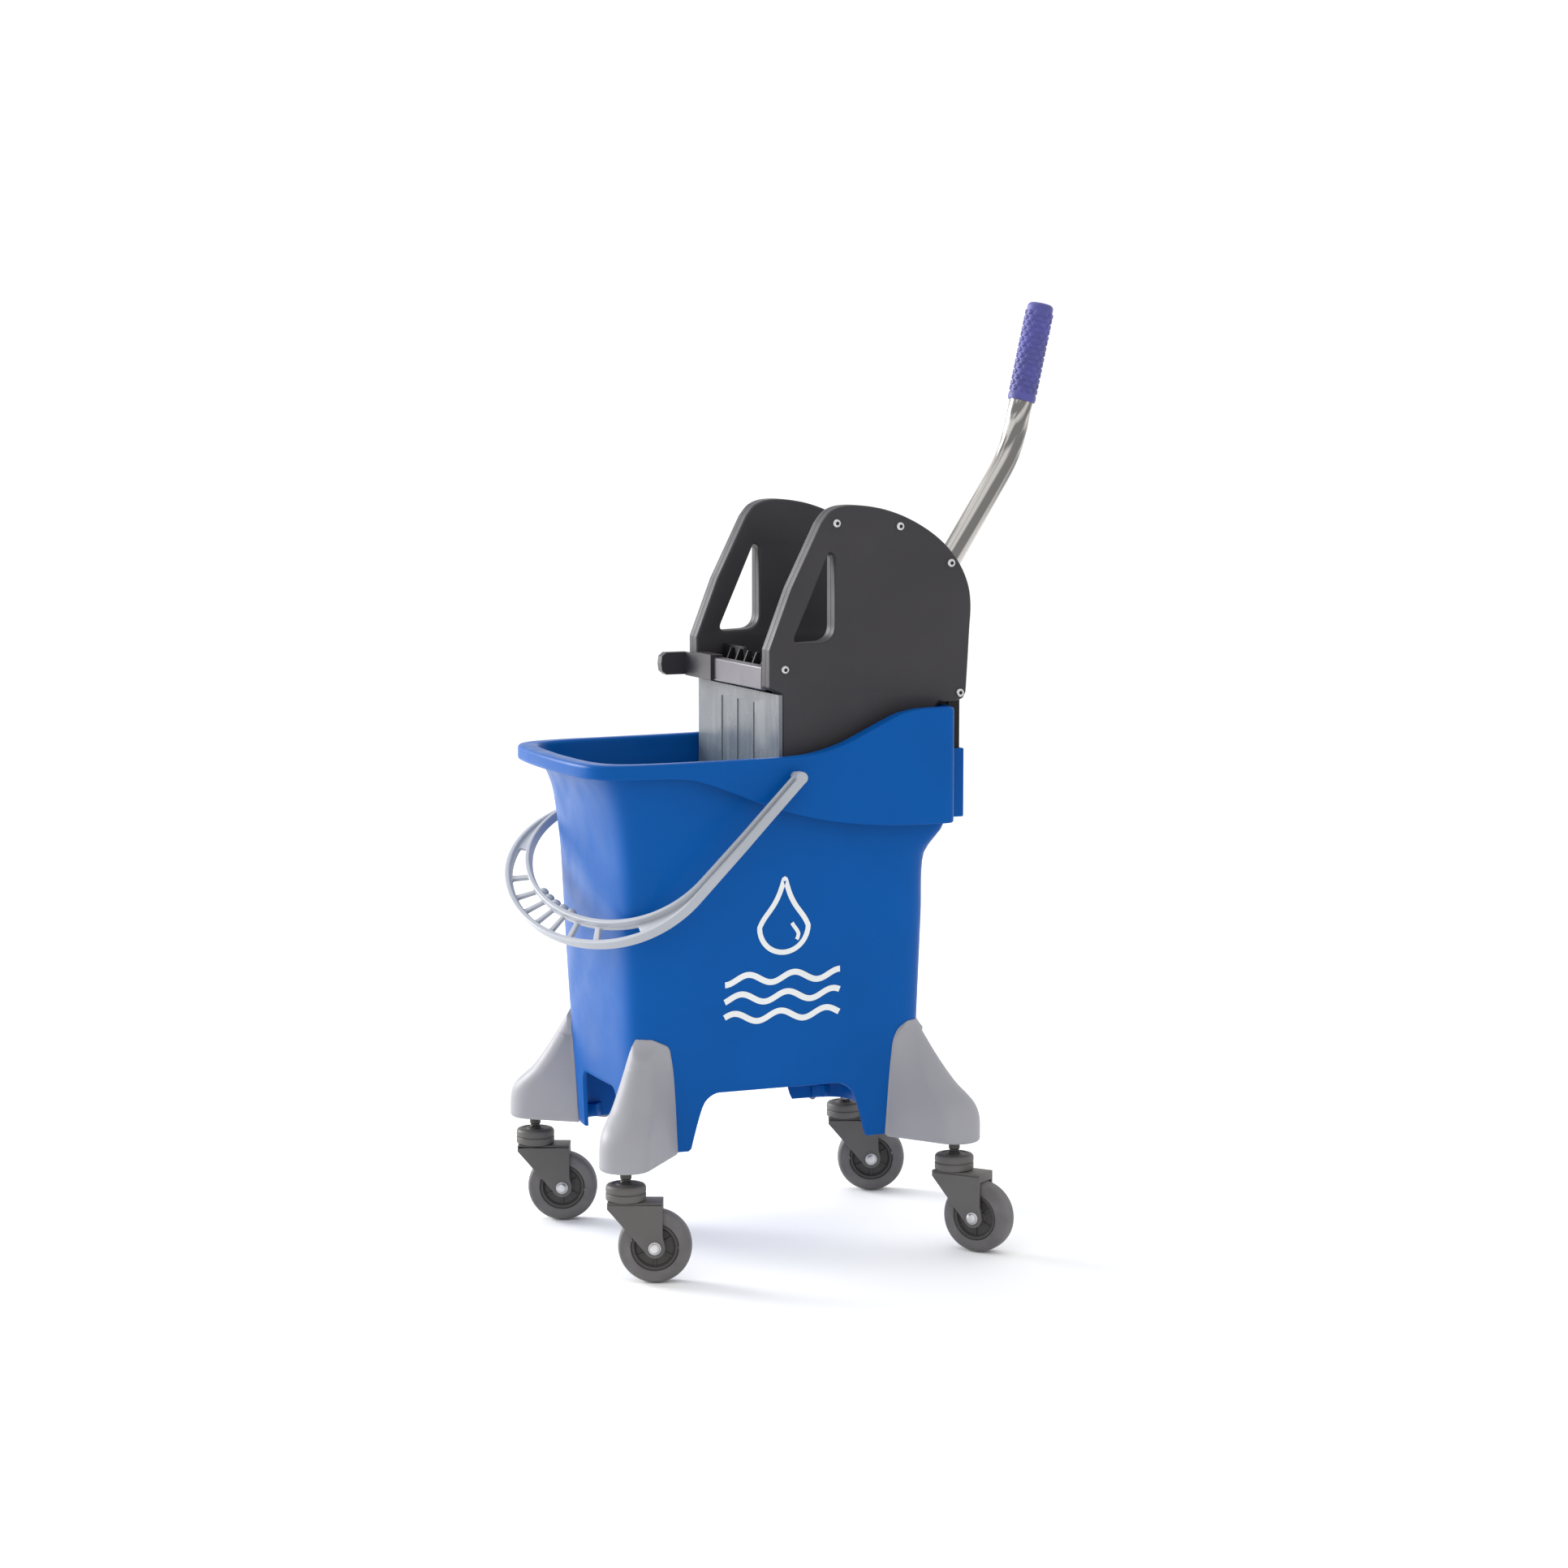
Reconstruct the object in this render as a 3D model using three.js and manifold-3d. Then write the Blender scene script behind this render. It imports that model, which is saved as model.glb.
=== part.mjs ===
// Mop bucket with a press wringer, on four swivel casters.
// Millimetres, +Z up. +X points to the wringer end, -X to the pouring lip, Y is across.
// While it is built, x = 0, y = 0 is the middle of the four caster stems and z = 0 is the floor.
// The finished group is then moved so that the origin is under the middle of the whole object.

import * as THREE from 'three';
import { mergeVertices } from 'three/addons/utils/BufferGeometryUtils.js';
import Module from 'manifold-3d';

// ---------------------------------------------------------------- driving dimensions

const GAP = 0.3;                 // clearance between pieces that touch
const ORIGIN_X = 61.97;          // middle of the whole object's length
const ORIGIN_Y = -15.06;         // middle of its width, with one caster turned further out

const STEM_X = 183.3;            // caster stems, half spacing along the bucket
const STEM_Y = 144.2;            // caster stems, half spacing across the bucket

const WHEEL_R = 37.5;
const WHEEL_W = 23;
const CORE_R = 24;
const TRAIL = 29.4;
const FORK_TOP = 84;
const FORK_HALF = 15.5;
const CHEEK = 3;
const COLLAR_R = 20.5;
const COLLAR_TOP = 101;
const STEM_R = 6;
const STEM_END = 131;
const AXLE_R = 4;
const SWIVEL_DEG = { front_near: -22.5, front_far: -22.5, rear_near: -52.5, rear_far: -22.5 };

const WALL = 4;                  // bucket wall
const FLOOR_Z = 183;             // underside of the bucket floor
const LEG_Z = 118;               // lower end of the bucket's corner legs
const RIM_Z = 526;               // top of the rim at the pouring end
const HOOD_Z = 571;              // top of the hood at the wringer end
const SKIRT_Y = 143;             // half width over the rim and skirt
const SKIRT_X = 185;             // back of the hood
const RIM_FRONT = -220;          // tip of the pouring lip
const LIP_BOW = 10;              // how far the lip bulges past its corners

const BAIL_X = 2.5;              // bail pivot
const BAIL_Z = 507;
const BAIL_DEG = 34;             // bail's slope below level at rest, in its middle
const BAIL_TWIST = 10;           // the bail hangs twisted: steeper by this on the near side

const HOUSE_Y = 115;             // outer faces of the wringer's side housings
const HOUSE_T = 23;              // thickness of one housing, both shells together
const SHELL_T = 11.5;            // thickness of one shell
const JAW_X = 78;                // jaw pivot
const JAW_Z = 458;
const LEVER_DEG = 32.4;          // lever's lean behind upright at rest
const TUBE_R = 12.5;
const GRIP_R = 15.2;
const SOCKET_END = 118;          // top of the tube socket, along the lever from the pivot
const BOLT_S = 92;               // clamping bolt, along the lever from the pivot

// ---------------------------------------------------------------- looks

const paint = (color, roughness, metalness = 0) => new THREE.MeshStandardMaterial({ color, roughness, metalness });
const BLUE = paint(0x0c56a0, 0.42);
const LIGHT_GREY = paint(0xa8acb4, 0.5);
const BAIL_GREY = paint(0xb4b8be, 0.45);
const DARK_GREY = paint(0x444347, 0.55);
const PANEL_GREY = paint(0x8d9196, 0.35);
const CASTER_GREY = paint(0x626160, 0.6);
const CORE_GREY = paint(0x4e4c4b, 0.6);
const TYRE_GREY = paint(0x6a6868, 0.8);
const CHROME = paint(0xcfcfce, 0.18, 1);
const ZINC = paint(0xb9bcc0, 0.35, 1);
const GRIP_BLUE = paint(0x4a45a0, 0.7);

// ---------------------------------------------------------------- solids

const wasm = await Module();
wasm.setup();

const object = new THREE.Group();
const whole = new THREE.Group();
object.add(whole);

function solid(geometry) {
  const g = geometry.index ? geometry.toNonIndexed() : geometry.clone();
  g.deleteAttribute('normal');
  g.deleteAttribute('uv');
  const merged = mergeVertices(g, 1e-4);
  const vertProperties = new Float32Array(merged.attributes.position.array);
  const kept = [];
  const index = merged.index.array;
  for (let i = 0; i < index.length; i += 3) {
    const [a, b, c] = [index[i], index[i + 1], index[i + 2]];
    if (a !== b && b !== c && c !== a) kept.push(a, b, c);
  }
  return new wasm.Manifold(new wasm.Mesh({ numProp: 3, vertProperties, triVerts: new Uint32Array(kept) }));
}

function toGeometry(manifold) {
  const mesh = manifold.getMesh();
  const g = new THREE.BufferGeometry();
  g.setAttribute('position', new THREE.BufferAttribute(new Float32Array(mesh.vertProperties), 3));
  g.setIndex(new THREE.BufferAttribute(new Uint32Array(mesh.triVerts), 1));
  g.computeVertexNormals();
  return g;
}

function join(first, ...others) {
  return others.reduce((all, next) => all.add(next), first);
}

function cut(first, ...others) {
  return others.reduce((all, next) => all.subtract(next), first);
}

function put(name, manifold, material, parent = whole) {
  const mesh = new THREE.Mesh(toGeometry(manifold), material);
  mesh.name = name;
  parent.add(mesh);
  return mesh;
}

// ---------------------------------------------------------------- basic shapes

// box between two corners
function box(x0, x1, y0, y1, z0, z1) {
  const g = new THREE.BoxGeometry(x1 - x0, y1 - y0, z1 - z0);
  g.translate((x0 + x1) / 2, (y0 + y1) / 2, (z0 + z1) / 2);
  return solid(g);
}

// upright cylinder
function rod(x, y, z0, z1, radius, sides = 24, topRadius = radius) {
  const g = new THREE.CylinderGeometry(topRadius, radius, z1 - z0, sides);
  g.rotateX(Math.PI / 2);
  g.translate(x, y, (z0 + z1) / 2);
  return solid(g);
}

// cylinder along y
function pin(x, z, y0, y1, radius, sides = 24) {
  const g = new THREE.CylinderGeometry(radius, radius, y1 - y0, sides);
  g.translate(x, (y0 + y1) / 2, z);
  return solid(g);
}

// outline in x and z, pushed along y from y0 to y1
function slab(outline, y0, y1, holes = []) {
  const shape = outline instanceof THREE.Shape ? outline : new THREE.Shape(outline.map(([x, z]) => new THREE.Vector2(x, z)));
  for (const hole of holes) shape.holes.push(new THREE.Path(hole.map(([x, z]) => new THREE.Vector2(x, z))));
  const g = new THREE.ExtrudeGeometry(shape, { depth: y1 - y0, bevelEnabled: false, curveSegments: 8 });
  g.rotateX(Math.PI / 2);
  g.translate(0, y1, 0);
  return solid(g);
}

// outline in y and z, pushed along x from x0 to x1
function slabX(outline, x0, x1) {
  const shape = new THREE.Shape(outline.map(([y, z]) => new THREE.Vector2(y, z)));
  const g = new THREE.ExtrudeGeometry(shape, { depth: x1 - x0, bevelEnabled: false });
  g.rotateX(Math.PI / 2);
  g.rotateZ(Math.PI / 2);
  g.translate(x0, 0, 0);
  return solid(g);
}

// round profile of [radius, z] turned about the upright axis
function turned(profile, sides = 28) {
  const g = new THREE.LatheGeometry(profile.map(([r, z]) => new THREE.Vector2(r, z)), sides);
  g.rotateX(Math.PI / 2);
  return solid(g);
}

const tidy = (value) => (Math.abs(value) < 1e-5 ? 0 : value);

// cylinder whose rings are reshaped level by level into rounded rectangles
// level: z, front x, back x, half width, squareness (and at the back), bow of the front side, side shift
function loft(levels, sides = 40) {
  const steps = levels.length - 1;
  const g = new THREE.CylinderGeometry(1, 1, 1, sides, steps);
  const p = g.attributes.position;
  for (let i = 0; i < p.count; i += 1) {
    const level = levels[Math.round((p.getY(i) + 0.5) * steps)];
    const reach = Math.hypot(p.getX(i), p.getZ(i));
    const c = reach > 0.5 ? tidy(p.getX(i) / reach) : 0;
    const s = reach > 0.5 ? tidy(-p.getZ(i) / reach) : 0;
    const power = 2 / (c > 0 ? level.squareBack ?? level.square : level.square);
    const along = Math.sign(c) * Math.abs(c) ** power;
    const across = Math.sign(s) * Math.abs(s) ** power;
    const middle = (level.front + level.back) / 2;
    const half = (level.back - level.front) / 2;
    const bow = along < 0 ? (level.bow ?? 0) * along * along * (1 - across * across) : 0;
    p.setXYZ(i, middle + along * half - bow, across * level.half + (level.shift ?? 0), level.z);
  }
  return solid(g);
}

// every level of a loft moved inwards by t
function inset(levels, t) {
  return levels.map((l) => ({ ...l, front: l.front + t, back: l.back - t, half: l.half - t }));
}

function mirrorX(manifold) {
  return manifold.mirror([1, 0, 0]);
}

function mirrorY(manifold) {
  return manifold.mirror([0, 1, 0]);
}

function arc(cx, cz, radius, fromDeg, toDeg, steps) {
  const points = [];
  for (let i = 0; i <= steps; i += 1) {
    const a = THREE.MathUtils.degToRad(fromDeg + (toDeg - fromDeg) * i / steps);
    points.push([cx + radius * Math.cos(a), cz + radius * Math.sin(a)]);
  }
  return points;
}

// ---------------------------------------------------------------- bucket

const BODY_LEVELS = [
  { z: LEG_Z, front: -154.5, back: 163, half: 104, square: 10, squareBack: 9, bow: 4 },
  { z: FLOOR_Z, front: -157.5, back: 165, half: 109, square: 10, squareBack: 9, bow: 5 },
  { z: 260, front: -161.5, back: 166, half: 114, square: 10, squareBack: 9, bow: 6 },
  { z: 350, front: -165, back: 168, half: 119, square: 10, squareBack: 9, bow: 7 },
  { z: 412, front: -167, back: 169, half: 122, square: 10, squareBack: 9, bow: 8 },
  { z: 434, front: -169, back: 179, half: 123, square: 10, squareBack: 14, bow: 8 },
  { z: 454, front: -171, back: SKIRT_X, half: 124, square: 10, squareBack: 36, bow: 9 },
  { z: 480, front: -175, back: SKIRT_X, half: 126, square: 9.5, squareBack: 36, bow: 10 },
  { z: 500, front: -183, back: SKIRT_X, half: 128, square: 9, squareBack: 36, bow: LIP_BOW },
  { z: 514, front: -192, back: SKIRT_X, half: 131, square: 8, squareBack: 36, bow: LIP_BOW },
  { z: 590, front: -196, back: SKIRT_X, half: 133, square: 8, squareBack: 36, bow: LIP_BOW },
];

const SKIRT_LOW = [[-262, 509], [-131, 509.4], [-104, 506], [-68, 493], [-33, 479], [3, 468], [39, 459], [75, 454],
  [112, 451], [200, 450]];
const HOOD_TOP = [[200, HOOD_Z + 0.6], [149, HOOD_Z], [126, 569], [108, 560], [85, 549], [58, 537], [22, 528],
  [-14, RIM_Z], [-262, RIM_Z - 2]];

function skirtLevels(z0, z1, t) {
  const one = { front: RIM_FRONT + LIP_BOW + t, back: SKIRT_X - t, half: SKIRT_Y - t, square: 8, squareBack: 36,
    bow: LIP_BOW };
  return [{ ...one, z: z0 }, { ...one, z: z1 }];
}

// bar of a corner arm, with room around it, drawn at the back, near +y
function armBar(room = 0) {
  const slope = Math.atan2(STEM_Y - 92, STEM_X - 128);
  const length = Math.hypot(STEM_Y - 92, STEM_X - 128);
  const bar = new THREE.BoxGeometry(length, 16 + 2 * room, 14 + 2 * room);
  bar.translate(length / 2, 0, 127);
  bar.rotateZ(slope);
  bar.translate(128, 92, 0);
  return solid(bar);
}

// the whole arm, which carries a caster stem
function cornerArm() {
  return join(armBar(), rod(STEM_X, STEM_Y, 119, 133, 10.5, 20));
}

function bucket() {
  const outside = loft(BODY_LEVELS);
  const inside = loft([{ ...inset(BODY_LEVELS, WALL)[1], z: FLOOR_Z + WALL }, ...inset(BODY_LEVELS, WALL).slice(2)]);
  const under = loft([{ ...inset(BODY_LEVELS, WALL)[0], z: LEG_Z - 5 }, { ...inset(BODY_LEVELS, WALL)[1], z: FLOOR_Z }]);
  const side = slab([[-101, LEG_Z - 9], [-87, 164], [-76, 175], [-66, 178], [64, 178], [75, 175], [87, 164],
    [103, LEG_Z - 9]], -200, 200);
  const ends = slabX([[-58, LEG_Z - 9], [-53, 172], [-43, 180], [43, 180], [53, 172], [58, LEG_Z - 9]], -220, 220);
  const band = slab([...SKIRT_LOW, ...HOOD_TOP], -170, 170);
  const apron = loft(skirtLevels(430, 620, 0)).intersect(band);
  const deck = [...HOOD_TOP].reverse().map(([x, z]) => [x, z - 4]);
  const below = slab([[-262, 430], [200, 430], ...deck.reverse()], -170, 170);
  const hollow = loft(skirtLevels(425, 640, 3.5)).intersect(below);
  const trimmed = outside.intersect(slab([[-262, 100], [200, 100], ...HOOD_TOP], -170, 170));
  let shell = join(trimmed, cut(apron, hollow));
  shell = cut(shell, inside, under, side, ends);
  for (const mirror of [(m) => m, mirrorX]) {
    const arm = mirror(cornerArm());
    shell = join(shell, arm, mirrorY(arm));
  }
  // floor returned where the corner cavities were cleared, sockets for the stems
  const sockets = [];
  for (const sx of [-1, 1]) {
    for (const sy of [-1, 1]) sockets.push(rod(sx * STEM_X, sy * STEM_Y, 100, STEM_END + 1, STEM_R + GAP, 20));
  }
  shell = cut(shell, ...sockets);
  // back pocket that takes the wringer's hook
  const pocket = cut(box(SKIRT_X - 2, 215, -96, 96, 450, 523), box(SKIRT_X + 2, 212.5, -93.2, 93.2, 453.5, 540));
  shell = join(shell, pocket);
  // bail holes
  return cut(shell, pin(BAIL_X, BAIL_Z, -150, -136, 5.6, 20), pin(BAIL_X, BAIL_Z, 136, 150, 5.6, 20));
}

put('bucket_body', bucket(), BLUE);

// ---------------------------------------------------------------- corner feet

// level: z, radius of the round nose, how far its middle has come in from the stem (back and front foot),
// where the foot meets the side wall (back and front foot) and where it meets the end wall
const FOOT_LEVELS = [
  [115, 24.0, 0, 0, 123, 112.5, 87],
  [116.2, 26.0, 0, 0, 123, 112.5, 87],
  [119, 27.0, 0, 0, 123.2, 112.8, 87.3],
  [137, 27.0, 0.3, 0.6, 124, 114.3, 89.5],
  [147, 26.8, 2.6, 3.2, 124.4, 115.1, 91],
  [155, 26.0, 6.6, 8.2, 124.7, 115.7, 92.3],
  [163, 24.8, 14.1, 16.2, 125, 116.3, 93.6],
  [172, 22.9, 23.2, 24.2, 125.4, 117, 94.5],
  [187, 20.4, 34.6, 33.8, 126.2, 118.4, 95],
  [204, 17.7, 45.4, 43, 127.6, 120.2, 95.4],
  [220, 15.3, 54.4, 51, 129.8, 123.1, 97.5],
  [231, 13.4, 60, 56, 135.7, 127, 101],
  [236, 12.2, 62, 58, 143.5, 138, 103.5],
  [239.4, 11, 63.5, 59.5, 152, 148, 105],
];
const FOOT_RUN = { back: [-0.542, -0.84], front: [-0.648, -0.763] };

function plan(z) {
  const k = BODY_LEVELS.findIndex((l) => l.z > z);
  const [lo, hi] = [BODY_LEVELS[k - 1], BODY_LEVELS[k]];
  const t = (z - lo.z) / (hi.z - lo.z);
  return { half: lo.half + (hi.half - lo.half) * t, back: lo.back + (hi.back - lo.back) * t,
    front: -(lo.front + (hi.front - lo.front) * t) };
}

// one level of a foot as points, made smaller by t inside
function footRing([z, radius, inBack, inFront, sideBack, sideFront, end], where, t) {
  const back = where === 'back';
  const wall = plan(Math.max(z, LEG_Z));
  const wallX = (back ? wall.back : wall.front) - t * 0.9;
  const wallY = wall.half - t * 0.9;
  const sideX = (back ? sideBack : sideFront) + t;
  const endY = end + t;
  const run = FOOT_RUN[where];
  const moved = back ? inBack : inFront;
  const cx = STEM_X + run[0] * moved;
  const cy = STEM_Y + run[1] * moved;
  const points = [[sideX, wallY + 1], [sideX, wallY - 3], [wallX + 1, endY], [wallX - 3, endY]];
  for (let i = 0; i <= 12; i += 1) {
    const a = THREE.MathUtils.degToRad(-50 + 195 * i / 12);
    points.push([cx + (radius - t) * Math.cos(a), cy + (radius - t) * Math.sin(a)]);
  }
  if (t === 0 && z > 160) {
    // skin over the bucket's own rounded corner
    const middle = (back ? 1 : -1) * (wall.back - wall.front) / 2;
    const long = (wall.back + wall.front) / 2;
    const square = back ? 9 : 10;
    for (let i = 0; i <= 8; i += 1) {
      const a = THREE.MathUtils.degToRad(36 + 18 * i / 8);
      const reach = (Math.cos(a) ** square + Math.sin(a) ** square) ** (-1 / square);
      const out = Math.PI / 2 * i / 8;
      points.push([middle + reach * Math.cos(a) * long + 2.2 * Math.cos(out),
        reach * Math.sin(a) * wall.half + 2.2 * Math.sin(out)]);
    }
  }
  return points.map(([x, y]) => [x, y, z]);
}

function footLoft(levels, where, t) {
  const parts = [];
  for (let i = 1; i < levels.length; i += 1) {
    const points = [...footRing(levels[i - 1], where, t), ...footRing(levels[i], where, t)];
    parts.push(wasm.Manifold.hull(points));
  }
  return join(...parts);
}

function bodyRoom() {
  const grown = inset(BODY_LEVELS, -GAP - 0.05);
  return loft([{ ...grown[0], z: 100 }, ...grown.slice(1, 5)]);
}

function foot(where) {
  const levels = FOOT_LEVELS.slice(0, 9);
  const room = footLoft([[100, ...levels[2].slice(1)], ...levels.slice(2)], where, 4);
  const body = where === 'back' ? bodyRoom() : mirrorX(bodyRoom());
  return cut(footLoft(FOOT_LEVELS, where, 0), room, body, armBar(GAP + 0.1));
}

const backFoot = () => foot('back');
const frontFoot = () => mirrorX(foot('front'));

put('foot_rear_far', backFoot(), LIGHT_GREY);
put('foot_rear_near', mirrorY(backFoot()), LIGHT_GREY);
put('foot_front_far', frontFoot(), LIGHT_GREY);
put('foot_front_near', mirrorY(frontFoot()), LIGHT_GREY);

// ---------------------------------------------------------------- casters

function casterStem() {
  return join(rod(0, 0, 76.8, STEM_END, STEM_R - 0.1, 12), rod(0, 0, 76.8, 80, 9.5, 12));
}

function casterCollar() {
  const cup = turned([[0, FORK_TOP + GAP], [COLLAR_R, FORK_TOP + GAP], [COLLAR_R, COLLAR_TOP - 3],
    [COLLAR_R - 3, COLLAR_TOP], [0, COLLAR_TOP]], 24);
  return cut(cup, rod(0, 0, 60, 120, STEM_R + 0.2, 12));
}

function casterFork() {
  const cheek = [[-18.5, FORK_TOP], [-18.5, 78], ...arc(TRAIL, WHEEL_R, 10.5, 205, 365, 9), [37.5, 50], [37.5, FORK_TOP]];
  const sides = slab(cheek, -FORK_HALF, FORK_HALF);
  const room = box(-30, 80, -FORK_HALF + CHEEK, FORK_HALF - CHEEK, 0, FORK_TOP - 3.6);
  return cut(sides, room, rod(0, 0, 60, 120, STEM_R + 0.2, 12), pin(TRAIL, WHEEL_R, -30, 30, AXLE_R + 0.2, 12));
}

function wheelCore() {
  const half = 11.9;
  const profile = [[AXLE_R + GAP, -half], [8, -half], [9, -6.5], [19.5, -6.5], [20.5, -9.5], [CORE_R, -9.5],
    [CORE_R, 9.5], [20.5, 9.5], [19.5, 6.5], [9, 6.5], [8, half], [AXLE_R + GAP, half], [AXLE_R + GAP, -half]];
  return turned(profile, 20);
}

function tyre() {
  const w = WHEEL_W / 2;
  const r = CORE_R + GAP;
  const profile = [[r, -w], [WHEEL_R - 4, -w], [WHEEL_R - 1.2, -w + 2], [WHEEL_R, -w + 5.5],
    [WHEEL_R, w - 5.5], [WHEEL_R - 1.2, w - 2], [WHEEL_R - 4, w], [r, w], [r, -w]];
  return turned(profile, 28);
}

function axleBolt() {
  return join(pin(0, 0, -19, 17, AXLE_R, 12), pin(0, 0, -19, -FORK_HALF - GAP, 6.5, 12),
    pin(0, 0, FORK_HALF + GAP, 20, 6.5, 6));
}

function caster(where, x, y) {
  const mount = new THREE.Group();
  mount.position.set(x, y, 0);
  whole.add(mount);
  put(`caster_stem_${where}`, casterStem(), ZINC, mount);
  put(`caster_collar_${where}`, casterCollar(), CASTER_GREY, mount);
  const swivel = new THREE.Group();
  swivel.rotation.z = THREE.MathUtils.degToRad(SWIVEL_DEG[where]);
  mount.add(swivel);
  put(`caster_fork_${where}`, casterFork(), CASTER_GREY, swivel);
  const wheel = new THREE.Group();
  wheel.position.set(TRAIL, 0, WHEEL_R);
  swivel.add(wheel);
  put(`axle_bolt_${where}`, axleBolt(), ZINC, wheel);
  const core = put(`wheel_core_${where}`, wheelCore(), CORE_GREY, wheel);
  const tread = put(`wheel_tyre_${where}`, tyre(), TYRE_GREY, wheel);
  core.rotation.x = Math.PI / 2;
  tread.rotation.x = Math.PI / 2;
}

caster('front_near', -STEM_X, -STEM_Y);
caster('front_far', -STEM_X, STEM_Y);
caster('rear_near', STEM_X, -STEM_Y);
caster('rear_far', STEM_X, STEM_Y);

// ---------------------------------------------------------------- bail

// outline of half a hoop: s runs from the pivot along the bail, y across
function hoop(reach, width0, width1, turn, power, steps) {
  const points = [[0, width0]];
  points.push([turn * 0.55, width0 + (width1 - width0) * 0.75]);
  for (let i = 0; i <= steps; i += 1) {
    const a = Math.PI / 2 * i / steps;
    points.push([turn + (reach - turn) * Math.sin(a) ** (2 / power), width1 * Math.cos(a) ** (2 / power)]);
  }
  return points;
}

function flatHoop(points, z0, z1) {
  const other = [...points].reverse().slice(1).map(([s, y]) => [s, -y]);
  const shape = new THREE.Shape([...points, ...other].map(([s, y]) => new THREE.Vector2(-s, y)));
  const g = new THREE.ExtrudeGeometry(shape, { depth: z1 - z0, bevelEnabled: false });
  g.translate(0, 0, z0);
  return solid(g);
}

function bail() {
  const outer = hoop(285, 163, 172, 168, 1.95, 12);
  const inner = hoop(252, 151, 160, 150, 1.95, 12);
  let ring = cut(flatHoop(outer, -6, 6), flatHoop(inner, -10, 10));
  // trimmed square behind the pivot, windows between the two rails
  const windowOut = hoop(277, 155, 164, 166, 1.95, 12);
  const windowIn = hoop(260, 153, 162, 154, 1.95, 12);
  let slot = cut(flatHoop(windowOut, -10, 10), flatHoop(windowIn, -20, 20));
  slot = slot.intersect(box(-300, -196, -150, 150, -30, 30));
  for (let i = -3; i <= 3; i += 1) {
    const a = i * 0.29;
    const rung = new THREE.BoxGeometry(120, 6, 60);
    rung.translate(-60, 0, 0);
    rung.rotateZ(a);
    rung.translate(-178, Math.tan(a) * -12, 0);
    slot = cut(slot, solid(rung));
  }
  ring = cut(ring, slot);
  ring = join(ring, pinAcross(-167, -138), pinAcross(138, 167));
  return ring.warp((v) => {
    const slope = THREE.MathUtils.degToRad(BAIL_DEG - BAIL_TWIST * v[1] / 165);
    const [x, , z] = v;
    v[0] = BAIL_X + x * Math.cos(slope) - z * Math.sin(slope);
    v[2] = BAIL_Z + x * Math.sin(slope) + z * Math.cos(slope);
  });
}

function pinAcross(y0, y1) {
  return pin(0, 0, y0, y1, 5, 20);
}

put('bail_handle', bail(), BAIL_GREY);

// ---------------------------------------------------------------- wringer housings

const HOUSE_OUTLINE = [
  [1, 446], [1, 588], [-14, 594], [-14, 634], [10, 696], [43, 762], [51, 772], [58, 776.6], [66, 779.2],
  [76, 780.2], [85, 780.1], [94, 779.3], [104, 777.8], [114.5, 775.6], [125, 772.5], [135, 768.9], [145.5, 764.2],
  [156, 758.7], [166.5, 752.2], [177, 744.4], [187, 735.2], [195.5, 725.2], [203, 713.6], [208.5, 701.5],
  [211.8, 690], [213.2, 678], [213.2, 666], [212, 650], [210.4, 620], [208.4, 590], [207.4, 583], [204.6, 577.8],
  [200, 575.4], [176, 574.5], [171, 567], [168, 446],
];

const SLOT = [[53, 730], [58.5, 726], [58.5, 657], [53, 645.5], [42, 638.5], [17.5, 639.5], [12, 645.5], [14, 655],
  [48, 728]];

const SCREWS = [[60.2, 761.9], [131.5, 757.8], [189.7, 718.9], [2.9, 613.3], [200.5, 583.4]];

function shrunk(outline, t) {
  const shape = outline.map(([x, z]) => new THREE.Vector2(x, z));
  const n = shape.length;
  return shape.map((p, i) => {
    const before = new THREE.Vector2().subVectors(p, shape[(i + n - 1) % n]).normalize();
    const after = new THREE.Vector2().subVectors(shape[(i + 1) % n], p).normalize();
    const turn = THREE.ShapeUtils.area(shape) > 0 ? 1 : -1;
    const nrm = new THREE.Vector2(-before.y - after.y, before.x + after.x).multiplyScalar(turn);
    const scale = t / Math.max(0.5, nrm.length() ** 2 / 2);
    return [p.x + nrm.x * scale, p.y + nrm.y * scale];
  });
}

// one shell of a housing: y0 is its closed face, y1 its open side
function shell(y0, y1, holeRadius) {
  const lo = Math.min(y0, y1);
  const hi = Math.max(y0, y1);
  const skin = 3;
  const body = slab(HOUSE_OUTLINE, lo, hi);
  const roomLo = y0 < y1 ? lo + skin : lo - 5;
  const roomHi = y0 < y1 ? hi + 5 : hi - skin;
  let room = slab(shrunk(HOUSE_OUTLINE, 4), roomLo, roomHi);
  room = cut(room, slab(shrunk(SLOT, -4), -200, 200));
  for (const [x, z] of SCREWS) room = cut(room, pin(x, z, -200, 200, 7, 6));
  room = cut(room, pin(JAW_X, JAW_Z, -200, 200, 15, 20));
  const holes = SCREWS.map(([x, z]) => pin(x, z, -200, 200, holeRadius, 8));
  return cut(body, room, slab(SLOT, -200, 200), ...holes);
}

function housings() {
  const mid = HOUSE_Y - SHELL_T;
  const inner = HOUSE_Y - HOUSE_T;
  const outerNear = shell(-HOUSE_Y, -mid, 2.6);
  const innerNear = shell(-inner, -mid + GAP, 2.6);
  const shaftHole = pin(JAW_X, JAW_Z, -mid - 4, mid + 4, 9.3, 24);
  put('wringer_cover_near', cut(outerNear, shaftHole), DARK_GREY);
  put('wringer_inner_near', cut(innerNear, shaftHole), DARK_GREY);
  put('wringer_cover_far', mirrorY(cut(outerNear, shaftHole)), DARK_GREY);
  put('wringer_inner_far', mirrorY(cut(innerNear, shaftHole)), DARK_GREY);
}

housings();

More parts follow.
